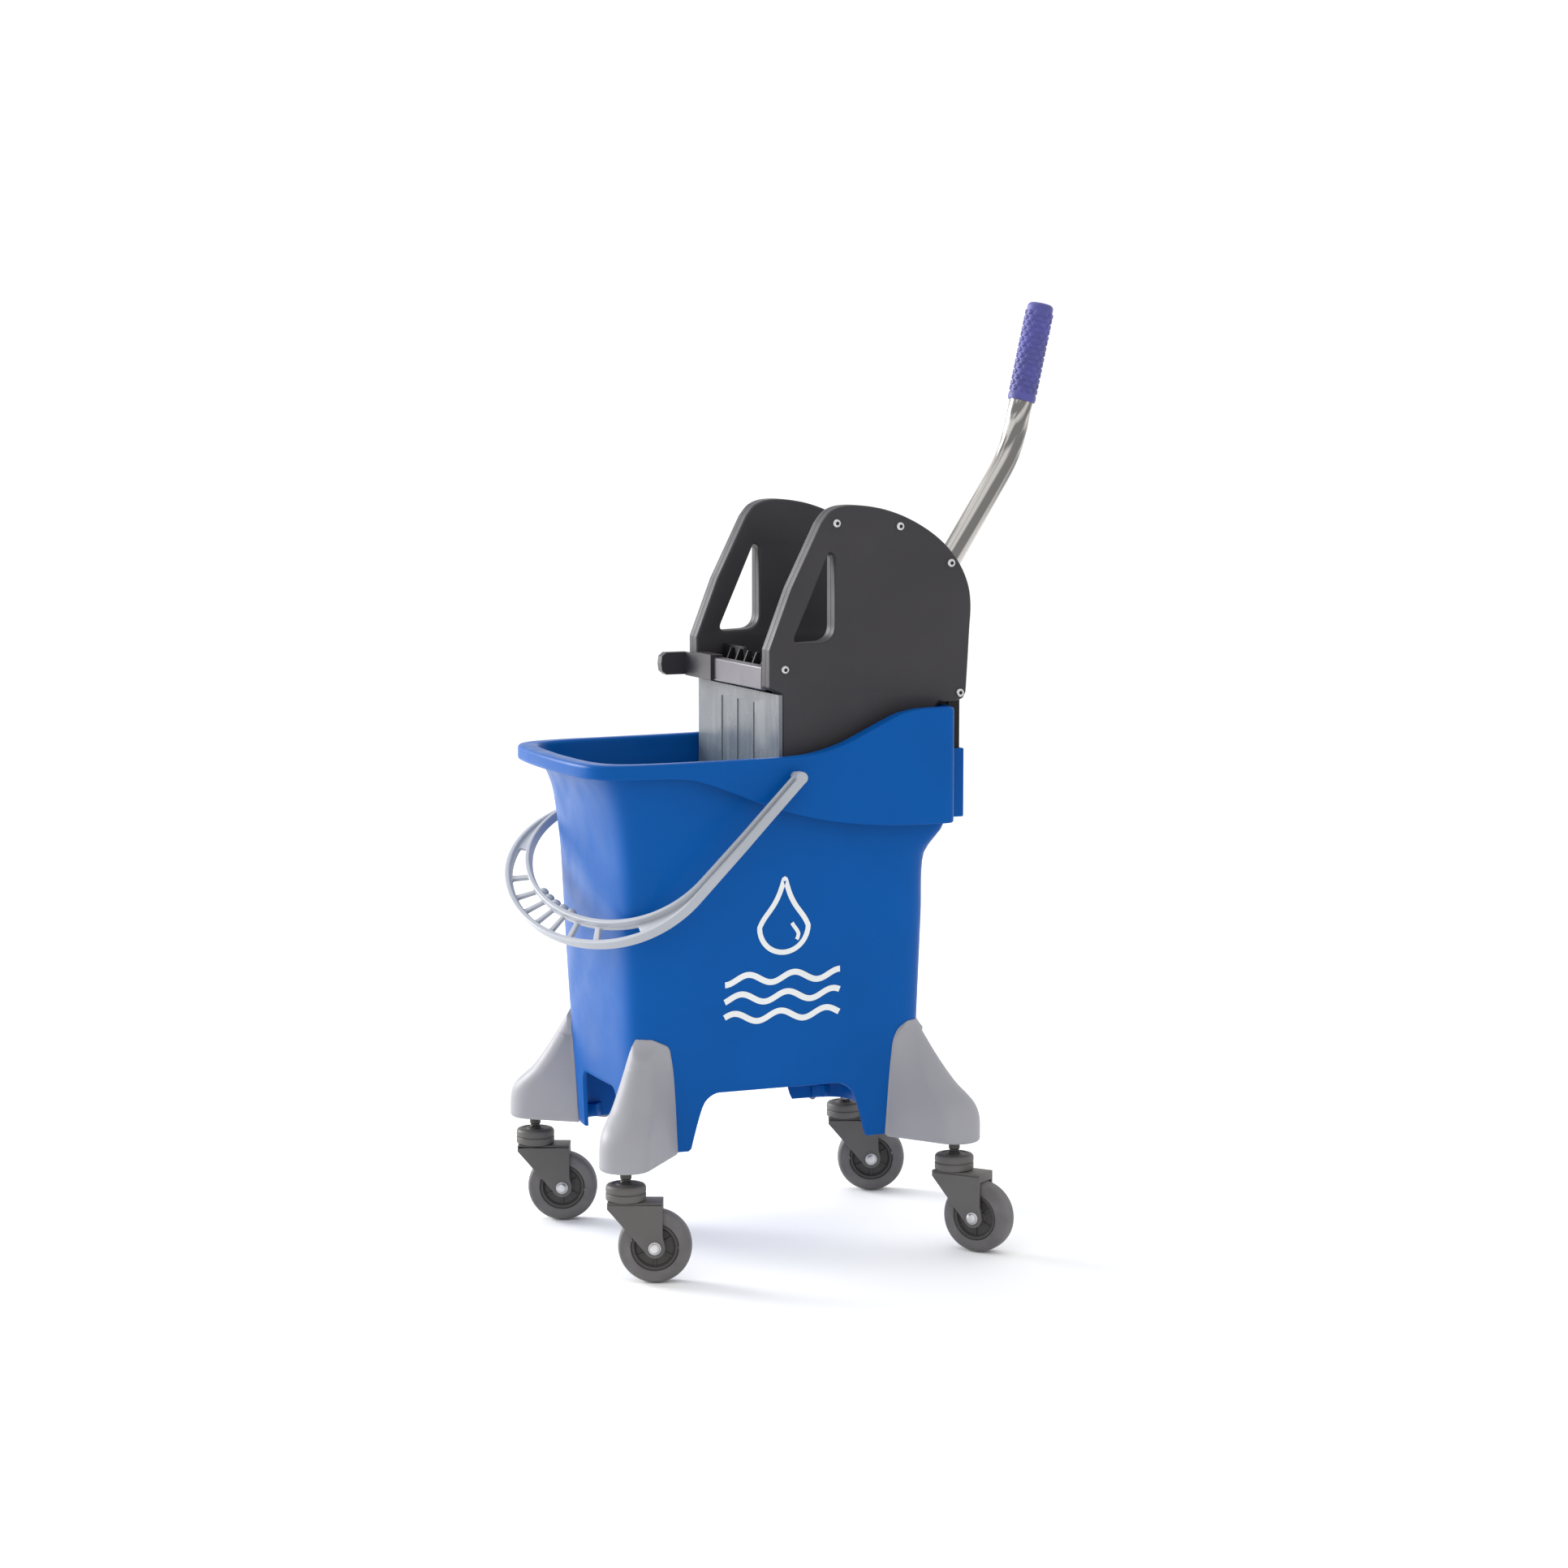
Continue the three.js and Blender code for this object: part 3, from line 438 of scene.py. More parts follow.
def from_node(node, edge=0.0, segments=2, angle=30.0):
    """A merged copy of a CAD node with its hard edges rounded."""
    bm = bmesh.new()
    bm.from_mesh(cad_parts[node].data)
    bmesh.ops.remove_doubles(bm, verts=bm.verts, dist=2e-6)
    bmesh.ops.dissolve_limit(bm, angle_limit=math.radians(1.0), verts=bm.verts, edges=bm.edges)
    if edge:
        hard = [e for e in bm.edges if e.is_manifold and e.calc_face_angle(0) > math.radians(angle)]
        bmesh.ops.bevel(
            bm, geom=hard, offset=edge, segments=segments, profile=0.5, affect="EDGES", material=-1,
            clamp_overlap=True
        )
    return bm


def flat_plate(outline, holes, thickness, edge, place, tuck=0.0):
    """A plate with rounded edges from flat outlines; place puts the flat drawing where it belongs."""
    data = bpy.data.curves.new("plate_outline", "CURVE")
    data.dimensions = "2D"
    data.fill_mode = "BOTH"
    data.extrude = thickness / 2 - edge
    data.bevel_depth = edge
    data.bevel_resolution = 3
    data.offset = -edge - tuck
    for loop, clockwise in [(outline, False)] + [(h, True) for h in holes]:
        area = sum(a[0] * b[1] - b[0] * a[1] for a, b in zip(loop, loop[1:] + loop[:1]))
        points = loop if (area < 0) == clockwise else loop[::-1]
        spline = data.splines.new("POLY")
        spline.points.add(len(points) - 1)
        for p, (x, y) in zip(spline.points, points):
            p.co = (x, y, 0, 1)
        spline.use_cyclic_u = True
    obj = bpy.data.objects.new("plate_outline", data)
    bpy.context.scene.collection.objects.link(obj)
    mesh = bpy.data.meshes.new_from_object(obj.evaluated_get(bpy.context.evaluated_depsgraph_get()))
    bpy.data.objects.remove(obj)
    bpy.data.curves.remove(data)
    bm = bmesh.new()
    bm.from_mesh(mesh)
    bpy.data.meshes.remove(mesh)
    bmesh.ops.remove_doubles(bm, verts=bm.verts, dist=1e-6)
    for v in bm.verts:
        v.co = place(v.co)
    return outward(bm)


def carved(bm, *cutters):
    """The first shape less the others, which are used up."""
    mesh = bpy.data.meshes.new("carved")
    bm.to_mesh(mesh)
    bm.free()
    base = bpy.data.objects.new("carved", mesh)
    bpy.context.scene.collection.objects.link(base)
    tools = []
    for i, cutter in enumerate(cutters):
        tool_mesh = bpy.data.meshes.new("cutter")
        cutter.to_mesh(tool_mesh)
        cutter.free()
        tool = bpy.data.objects.new("cutter", tool_mesh)
        bpy.context.scene.collection.objects.link(tool)
        tools.append(tool)
        mod = base.modifiers.new(f"cut_{i}", "BOOLEAN")
        mod.operation = "DIFFERENCE"
        mod.solver = "EXACT"
        mod.object = tool
    made = bpy.data.meshes.new_from_object(base.evaluated_get(bpy.context.evaluated_depsgraph_get()))
    for obj in [base, *tools]:
        data = obj.data
        bpy.data.objects.remove(obj)
        bpy.data.meshes.remove(data)
    out = bmesh.new()
    out.from_mesh(made)
    bpy.data.meshes.remove(made)
    return out


# ---------------------------------------------------------------- bucket

# height: front, back, half width, squareness in front and at the back, bow of the front
WALL_TABLE = {
    118: (-154.5, 163, 104, 10, 9, 4),
    183: (-157.5, 165, 109, 10, 9, 5),
    260: (-161.5, 166, 114, 10, 9, 6),
    350: (-165, 168, 119, 10, 9, 7),
    412: (-167, 169, 122, 10, 9, 8),
    434: (-169, 179, 123, 10, 14, 8),
    454: (-171, 185, 124, 10, 36, 9),
    480: (-175, 185, 126, 9.5, 36, 10),
    500: (-183, 185, 128, 9, 36, 10),
    514: (-192, 185, 131, 8, 36, 10),
    532: (-196, 185, 133, 8, 36, 10),
}
SKIRT_PLAN = (-210, 185, 143, 8, 36, 10)
HOOD_TOP = [(-262, 524), (-14, 526), (22, 528), (58, 537), (85, 549), (108, 560), (126, 567.5), (149, 571),
            (200, 571.4)]
SKIRT_LOW = [(-262, 509), (-131, 509.2), (-104, 506), (-68, 493.5), (-33, 479.5), (3, 468), (39, 459.5),
             (75, 454),
             (112, 451), (148, 450.2), (200, 450)]
ARCH_SIDE = [(-100, 118), (-97, 130), (-87, 163), (-80, 173), (-68, 178), (66, 178), (78, 173), (87, 163),
             (99, 130),
             (102, 118)]
ARCH_END = [(-58, 118), (-56, 140), (-53, 168), (-48, 177), (-40, 180), (40, 180), (48, 177), (53, 168),
            (56, 140),
            (58, 118)]


def wall_plan(z):
    levels = sorted(WALL_TABLE)
    return tuple(smooth_table([(h, WALL_TABLE[h][k]) for h in levels], z) for k in range(6))


def plan_point(plan, angle, inset=0.0):
    front, back, half, square, square_back, bow = plan
    front, back, half = front + inset, back - inset, half - inset
    c, s = math.cos(angle), math.sin(angle)
    power = square_back if c > 0 else square
    reach = (abs(c) ** power + abs(s) ** power) ** (-1 / power)
    along, across = reach * c, reach * s
    x = (front + back) / 2 + along * (back - front) / 2
    if along < 0:
        x -= bow * along * along * (1 - across * across)
    return x, across * half


def even_angles(plan, count):
    """Angles that step evenly along the outline's length, and closer where it turns."""
    fine = 8000
    points = [plan_point(plan, math.tau * i / fine) for i in range(fine + 1)]
    run, heading = [0.0], None
    for a, b in zip(points, points[1:]):
        new = math.atan2(b[1] - a[1], b[0] - a[0])
        turn = 0.0 if heading is None else abs(math.remainder(new - heading, math.tau))
        run.append(run[-1] + math.dist(a, b) + 55 * turn)
        heading = new
    angles, j = [], 0
    for k in range(count + 1):
        want = run[-1] * k / count
        while j < fine - 1 and run[j + 1] < want:
            j += 1
        part = (want - run[j]) / max(1e-12, run[j + 1] - run[j])
        angles.append(math.tau * (j + part) / fine)
    return angles


def leg_bottom(plan, x, y):
    front, back, half = plan[:3]
    mid, length = (front + back) / 2, (back - front) / 2
    if abs(y) / half >= abs(x - mid) / length:
        return max(118.0, smooth_table(ARCH_SIDE, x))
    return max(118.0, smooth_table(ARCH_END, y))


def bucket_rings(wall):
    """Every ring of the bucket's skin, from the inside floor, over the rim and down to the legs.
    A ring is a rule that gives the point at an angle."""
    rings = []
    low_plan = wall_plan(183)

    def floor_ring(scale, inset, z):
        def rule(a):
            x, y = plan_point(low_plan, a, inset)
            return x * scale, y * scale, z
        return rule

    def wall_ring(inset, height):
        def rule(a):
            x0, y0 = plan_point(wall_plan(500), a)
            z = height(x0)
            plan = wall_plan(min(z, 532))
            x, y = plan_point(plan, a, inset)
            return x, y, z
        return rule

    def top(x):
        return smooth_table(HOOD_TOP, x)

    def low(x):
        return smooth_table(SKIRT_LOW, x)

    def skirt_ring(inset, height):
        def rule(a):
            x, y = plan_point(SKIRT_PLAN, a, inset)
            return x, y, height(x)
        return rule

    def hidden_ring(height):
        # outside of the wall behind the skirt
        def rule(a):
            x0, y0 = plan_point(wall_plan(500), a)
            z = height(x0)
            plan = list(wall_plan(min(z, 532)))
            over = min(1.0, max(0.0, (z - low(x0) + 2) / 5))
            plan[1] = plan[1] + (min(plan[1], 181.3) - plan[1]) * over
            x, y = plan_point(plan, a)
            return x, y, z
        return rule

    def leg_ring(inset, start, part, lift=0.0):
        def rule(a):
            x0, y0 = plan_point(low_plan, a)
            bottom = leg_bottom(low_plan, x0, y0) + lift
            z = start + (bottom - start) * part
            plan = wall_plan(max(118, z))
            x, y = plan_point(plan, a, inset)
            return x, y, z
        return rule

    t = wall
    for scale in (0.0, 0.3, 0.6, 0.85):
        rings.append(floor_ring(scale, t + 12, 187))
    rings += [floor_ring(1, t + 12, 187), floor_ring(1, t + 6, 188), floor_ring(1, t + 2, 191),
              floor_ring(1, t + 0.3, 196)]
    steps = 44
    for k in range(steps + 1):
        rings.append(wall_ring(t, lambda x, k=k: 202 + (top(x) - 4 - 202) * k / steps))
    rings += [wall_ring(t - 0.4, lambda x: top(x) - 1.8), wall_ring(t - 1.4, lambda x: top(x) - 0.6),
              wall_ring(t - 2.8, lambda x: top(x) - 0.1)]
    rings += [skirt_ring(3.2, lambda x: top(x)), skirt_ring(1.6, lambda x: top(x) - 0.5),
              skirt_ring(0.5, lambda x: top(x) - 1.7), skirt_ring(0, lambda x: top(x) - 3.6)]
    for k in range(1, 10):
        rings.append(skirt_ring(0, lambda x, k=k: top(x) - 3.6 + (low(x) + 2.2 - top(x) + 3.6) * k / 9))
    rings += [skirt_ring(0.4, lambda x: low(x) + 0.8), skirt_ring(1.4, lambda x: low(x)),
              skirt_ring(2.4, lambda x: low(x) + 0.2),
              skirt_ring(3.2, lambda x: low(x) + 1.4)]
    for k in range(1, 4):
        rings.append(skirt_ring(3.4, lambda x, k=k: low(x) + 1.4 + (top(x) - 5 - low(x) - 1.4) * k / 3))
    for k in range(0, 41):
        rings.append(hidden_ring(lambda x, k=k: top(x) - 5 + (232 - top(x) + 5) * k / 40))
    for k in range(1, 13):
        rings.append(leg_ring(0, 232, k / 12, 1.2))
    rings += [leg_ring(0.5, 232, 1, 0.3), leg_ring(1.4, 232, 1, 0), leg_ring(2.8, 232, 1, 0),
              leg_ring(3.6, 232, 1, 0.8)]
    for k in (0.3, 0.65, 1.0):
        rings.append(leg_ring(4, 0, 1, 1.5) if k == 0 else under_rule(k))
    for scale in (0.85, 0.6, 0.3, 0.0):
        rings.append(floor_ring(scale, t, 183))
    return rings


def under_rule(part):
    def rule(a):
        low_plan = wall_plan(183)
        x0, y0 = plan_point(low_plan, a)
        bottom = leg_bottom(low_plan, x0, y0) + 1.5
        z = bottom + (183 - bottom) * part
        x, y = plan_point(wall_plan(max(118, z)), a, 4)
        return x, y, z
    return rule



class BuildBucket(bpy.types.Operator):
    """Build the blue bucket: wall, rim, skirt, legs, hook pocket and caster arms"""

    bl_idname = "mop_bucket.bucket"
    bl_label = "Bucket"

    def execute(self, context):
        sizes = context.scene.mop_bucket
        angles = even_angles(wall_plan(300), sizes.around)
        rings = bucket_rings(sizes.wall / MM)
        last = len(rings) - 1
        bm = bmesh.new()
        sheet_of(
            bm, sizes.around, last,
            lambda u, v: at(*rings[round(v * last)](angles[round(u * sizes.around) % sizes.around])),
        )
        bmesh.ops.dissolve_degenerate(bm, dist=1e-7, edges=bm.edges)
        outward(bm)
        piece("bucket_shell", bm, "blue", "bucket", "blue_plastic", ["bucket_body"], 42)

        # pocket that the wringer's hook drops into
        outer, inner = bmesh.new(), bmesh.new()
        block(outer, at(182, -96, 450), at(215, 96, 523), 1.6 * MM, 3)
        block(inner, at(187, -93.2, 453.5), at(212.5, 93.2, 540), 1.2 * MM, 2)
        piece("hook_pocket", outward(carved(outer, inner)), "blue", "bucket", "blue_plastic")

        # arms under the floor that carry the caster stems
        bm = bmesh.new()
        for corner in CORNERS:
            stem = (STEMS[corner] - ZERO) / MM
            add_to(bm, arm_bar(bmesh.new(), corner, 0.0))
            ring = bmesh.new()
            turned(
                ring,
                [(6.4 * MM, 119 * MM), (9.7 * MM, 119 * MM), (10.5 * MM, 119.8 * MM),
                 (10.5 * MM, 132.2 * MM),
                 (9.7 * MM, 133 * MM), (6.4 * MM, 133 * MM), (6.4 * MM, 119 * MM)],
                at(stem.x, stem.y, 0), Vector((0, 0, 1)), 64,
            )
            add_to(bm, ring)
        piece("caster_arms", outward(bm), "blue", "bucket", "blue_plastic")
        printed_mark()
        return {"FINISHED"}


def arm_bar(bm, corner, room):
    """Bar from under the floor to a caster stem, with room around it."""
    stem = (STEMS[corner] - ZERO) / MM
    start = Vector((math.copysign(128, stem.x), math.copysign(92, stem.y), 0))
    run = Vector((stem.x, stem.y, 0)) - start
    along = run.normalized()
    side = Vector((-along.y, along.x, 0))
    block(bm, Vector((0, -8 - room, 120 - room)), Vector((run.length - 3, 8 + room, 134 + room)),
          0.0 if room else 1.6, 2)
    for v in bm.verts:
        v.co = at(*(start + along * v.co.x + side * v.co.y + Vector((0, 0, v.co.z))))
    return bm


def add_to(bm, other):
    mesh = bpy.data.meshes.new("joined")
    other.to_mesh(mesh)
    other.free()
    bm.from_mesh(mesh)
    bpy.data.meshes.remove(mesh)
    return bm


def wall_y(x, z):
    """How far the near wall stands out at x and z, in millimetres."""
    front, back, half, square, square_back, bow = wall_plan(z)
    mid = (front + back) / 2
    along = abs(x - mid) / (back - front) * 2
    power = square_back if x > mid else square
    return -half * (1 - along**power) ** (1 / power)


def band(outline, width, closed):
    """A line of the given width along a flat outline, as one or two loops of points."""
    n = len(outline)
    left, right = [], []
    for i, p in enumerate(outline):
        a = outline[(i - 1) % n] if closed or i else p
        b = outline[(i + 1) % n] if closed or i < n - 1 else p
        run = Vector((b[0] - a[0], b[1] - a[1])).normalized()
        side = Vector((-run.y, run.x)) * width / 2
        left.append((p[0] + side.x, p[1] + side.y))
        right.append((p[0] - side.x, p[1] - side.y))
    return (left, [right]) if closed else (left + right[::-1], [])


def printed_mark():
    """A plain water mark on the near wall: a drop over ripples."""
    drop = []
    for i in range(96):
        a = math.tau * i / 96
        pinch = max(0.0, math.cos(a)) ** 5
        drop.append(((1 - 0.62 * pinch) * 27 * math.sin(a) * (1 - 0.38 * max(0.0, math.cos(a))),
                     349 + 27 * math.cos(a) * (1 + 0.85 * pinch)))
    ripples = []
    for z, half, phase in ((296, 64, 0.0), (276, 64, 0.9), (256, 64, 1.8)):
        line = []
        for i in range(121):
            x = -half + 2 * half * i / 120
            line.append((x, z + 4.6 * math.sin(x / half * math.pi * 2.5 + phase)))
        ripples.append(line)
    inner = [(x * 0.42 + 5, 341 + (z - 349) * 0.42) for x, z in drop]
    bm = bmesh.new()

    def on_wall(co):
        x, z = co.x / MM, co.y / MM
        return at(x, wall_y(x, z) - 0.25 + co.z / MM, z)

    shapes = [band(drop, 5.4, True)] + [band(r, 6.2, False) for r in ripples]
    shapes.append(band(inner[10:34], 4.0, False))
    for outline, holes in shapes:
        plate = flat_plate(
            [(x * MM, z * MM) for x, z in outline], [[(x * MM, z * MM) for x, z in h] for h in holes],
            0.5 * MM, 0.04 * MM, on_wall,
        )
        add_to(bm, plate)
    piece("water_mark", bm, "mark", "bucket", "blue_plastic")


# ---------------------------------------------------------------- feet

# height: radius of the round nose, how far it has come in from the stem (rear and front foot), where the foot
# meets the side wall (rear and front foot) and where it meets the end wall
FOOT_TABLE = {
    119: (27.0, 0, 0, 123.2, 112.8, 87.3),
    137: (27.0, 0.3, 0.6, 124, 114.3, 89.5),
    147: (26.8, 2.6, 3.2, 124.4, 115.1, 91),
    155: (26.0, 6.6, 8.2, 124.7, 115.7, 92.3),
    163: (24.8, 14.1, 16.2, 125, 116.3, 93.6),
    172: (22.9, 23.2, 24.2, 125.4, 117, 94.5),
    187: (20.4, 34.6, 33.8, 126.2, 118.4, 95),
    204: (17.7, 45.4, 43, 127.6, 120.2, 95.4),
    220: (15.3, 54.4, 51, 129.8, 123.1, 97.5),
    231: (13.4, 60, 56, 135.7, 127, 101),
    236: (12.2, 62, 58, 143.5, 138, 103.5),
    239.4: (11, 63.5, 59.5, 152, 148, 105),
}
FOOT_TOP, FOOT_FOLD, FOOT_LIP = 239.4, 119, 1.5
FOOT_RUN = {"rear": (-0.542, -0.84), "front": (-0.648, -0.763)}


def hull(points):
    """The convex outline round flat points, anticlockwise."""
    points = sorted(points)
    half = []
    for run in (points, points[::-1]):
        part = []
        for p in run:
            while len(part) > 1:
                (ax, ay), (bx, by) = part[-2:]
                if (bx - ax) * (p[1] - ay) - (by - ay) * (p[0] - ax) > 0:
                    break
                part.pop()
            part.append(p)
        half += part[:-1]
    return half


def near_wall(x, y, plan, rear, most, deep=0.0):
    """A point by a corner, brought to at most a distance outside the wall, or to a depth inside it."""
    front, back, half, square, square_back, bow = plan
    power = square_back if rear else square
    middle, length = (front + back) / 2 * (1 if rear else -1), (back - front) / 2
    along, across = (x - middle) / length, y / half
    reach = (along**power + across**power) ** (1 / power)
    along, across = along / reach, across / reach
    bulge = 0.0 if rear else bow * along**2 * (1 - across**2)
    wall = Vector((middle + along * length + bulge, across * half))
    if deep:
        return tuple(wall - wall.normalized() * deep)
    off = Vector((x, y)) - wall
    if reach <= 1 or off.length <= most:
        return x, y
    return tuple(wall + off.normalized() * most)


def foot_ring(z, where, inset, count, shrink=1.0):
    """A foot's outline at a height, as points about the middle of its nose, in millimetres."""
    rear = where == "rear"
    levels = sorted(FOOT_TABLE)
    radius, in_rear, in_front, side_rear, side_front, end = (
        smooth_table([(h, FOOT_TABLE[h][k]) for h in levels], z) for k in range(6)
    )
    front, back, half = wall_plan(max(118, z))[:3]
    wall_x = (back if rear else -front) - inset * 0.9
    wall_y = half - inset * 0.9
    stem = (STEMS["rear_far"] - ZERO) / MM
    moved = in_rear if rear else in_front
    cx, cy = stem.x + FOOT_RUN[where][0] * moved, stem.y + FOOT_RUN[where][1] * moved
    side, end = (side_rear if rear else side_front) + inset, end + inset
    points = [(side, wall_y + 1), (side, wall_y - 3), (wall_x + 1, end), (wall_x - 3, end)]
    points += arc_points(cx, cy, radius - inset, -50, 145, 60)
    if not inset:
        skin = 1 + 1.2 * max(0.0, min(1.0, (z - 170) / 40))
        for i in range(33):
            a, out = math.radians(36 + 18 * i / 32), math.pi / 2 * i / 32
            x, y = plan_point(wall_plan(max(118, z)), a if rear else math.pi - a)
            x, y = abs(x) + skin * math.cos(out), y + skin * math.sin(out)
            if x > side and y > end:
                points.append((x, y))
    loop = hull(points)
    first = min(range(len(loop)), key=lambda i: math.dist(loop[i], (wall_x + 1, end)))
    loop = loop[first:] + loop[:first]
    last = min(range(len(loop)), key=lambda i: math.dist(loop[i], (side, wall_y + 1)))
    outside = loop[:last + 1]
    run = [0.0]
    for p, q in zip(outside, outside[1:]):
        run.append(run[-1] + math.dist(p, q))
    ring, j = [], 0
    for i in range(count - 2):
        want = run[-1] * i / (count - 3)
        while j < len(run) - 2 and run[j + 1] < want:
            j += 1
        t = (want - run[j]) / max(1e-9, run[j + 1] - run[j])
        ring.append((outside[j][0] + (outside[j + 1][0] - outside[j][0]) * t,
                     outside[j][1] + (outside[j + 1][1] - outside[j][1]) * t))
    if inset:
        ring += [(side, wall_y - 3), (wall_x - 3, end)]
    else:
        plan = wall_plan(max(118, z))
        drop = max(0.0, FOOT_TOP - z)
        most = FOOT_LIP + 0.25 * drop + 0.035 * drop**2
        ring = [near_wall(x, y, plan, rear, most) for x, y in ring]
        ring += [near_wall(*ring[-1], plan, rear, most, 4), near_wall(*ring[0], plan, rear, most, 4)]
    return [(cx + (x - cx) * shrink, cy + (y - cy) * shrink) for x, y in ring]


class BuildFeet(bpy.types.Operator):
    """Build the four hollow grey corner feet, which flare from the bucket's corners to the casters"""

    bl_idname = "mop_bucket.feet"
    bl_label = "Feet"

    def execute(self, context):
        steps = 160
        outer = [(115.0, 119, 3.0, 1), (115.2, 119, 2.0, 1), (115.8, 119, 1.0, 1), (116.8, 119, 0.3, 1),
                 (118.2, 119, 0, 1)]
        outer += [(120 + 117 * k / 58, 120 + 117 * k / 58, 0, 1) for k in range(59)]
        outer += [(238.0, 238, 0, 0.985), (238.8, 238.8, 0, 0.95), (239.3, 239.3, 0, 0.86),
                  (239.4, 239.4, 0, 0.6)]
        inside = [(100.0, 119, 4, 1)] + [(119 + 72 * k / 24, 119 + 72 * k / 24, 4, 1) for k in range(25)]
        shapes = {
            where: [[(z, foot_ring(at_z, where, inset, steps, shrink)) for z, at_z, inset, shrink in levels]
                    for levels in (outer, inside)]
            for where in ("front", "rear")
        }
        angles = even_angles(wall_plan(183), 160)
        for corner in CORNERS:
            where = corner.split("_")[0]
            sx = -1 if where == "front" else 1
            sy = -1 if corner.endswith("near") else 1

            def lofted(rings):
                bm = bmesh.new()
                last = len(rings) - 1

                def place(u, v):
                    z, ring = rings[round(v * last)]
                    x, y = ring[round(u * steps) % steps]
                    return at(x * sx, y * sy, z)

                sheet_of(bm, steps, last, place)
                close_ends(bm)
                bmesh.ops.dissolve_degenerate(bm, dist=1e-7, edges=bm.edges)
                return outward(bm)

            body = bmesh.new()

            def room(u, v):
                z = 100 + 160 * v
                x, y = plan_point(wall_plan(max(118, z)), angles[round(u * 160) % 160], -0.35)
                return at(x, y, z)

            sheet_of(body, 160, 20, room)
            close_ends(body)
            made = carved(
                lofted(shapes[where][0]), outward(body), lofted(shapes[where][1]),
                outward(arm_bar(bmesh.new(), corner, 0.4)),
            )
            bmesh.ops.remove_doubles(made, verts=made.verts, dist=1e-6)
            piece(f"corner_foot_{corner}", made, "light_grey", "bucket", "light_grey_plastic",
                  [f"foot_{corner}"], 40)
        return {"FINISHED"}


# ---------------------------------------------------------------- casters

SWIVEL = {"front_near": -22.5, "front_far": -22.5, "rear_near": -52.5, "rear_far": -22.5}
TRAIL, WHEEL_R = 29.4, 37.5


def scaled(profile):
    return [(r * MM, h * MM) for r, h in profile]


def spindle(profile, centre, axis, steps=96):
    """A turned piece from a profile in millimetres."""
    return turned(bmesh.new(), scaled(profile), centre, axis, steps)


def mirrored_profile(half):
    """A closed wheel profile from its outer half, which runs from the bore out to the tread."""
    return half + [(r, -h) for r, h in reversed(half)] + [half[0]]


def arc_points(cx, cy, r, start, end, count):
    return [
        (cx + r * math.cos(math.radians(start + (end - start) * i / count)),
         cy + r * math.sin(math.radians(start + (end - start) * i / count)))
        for i in range(count + 1)
    ]


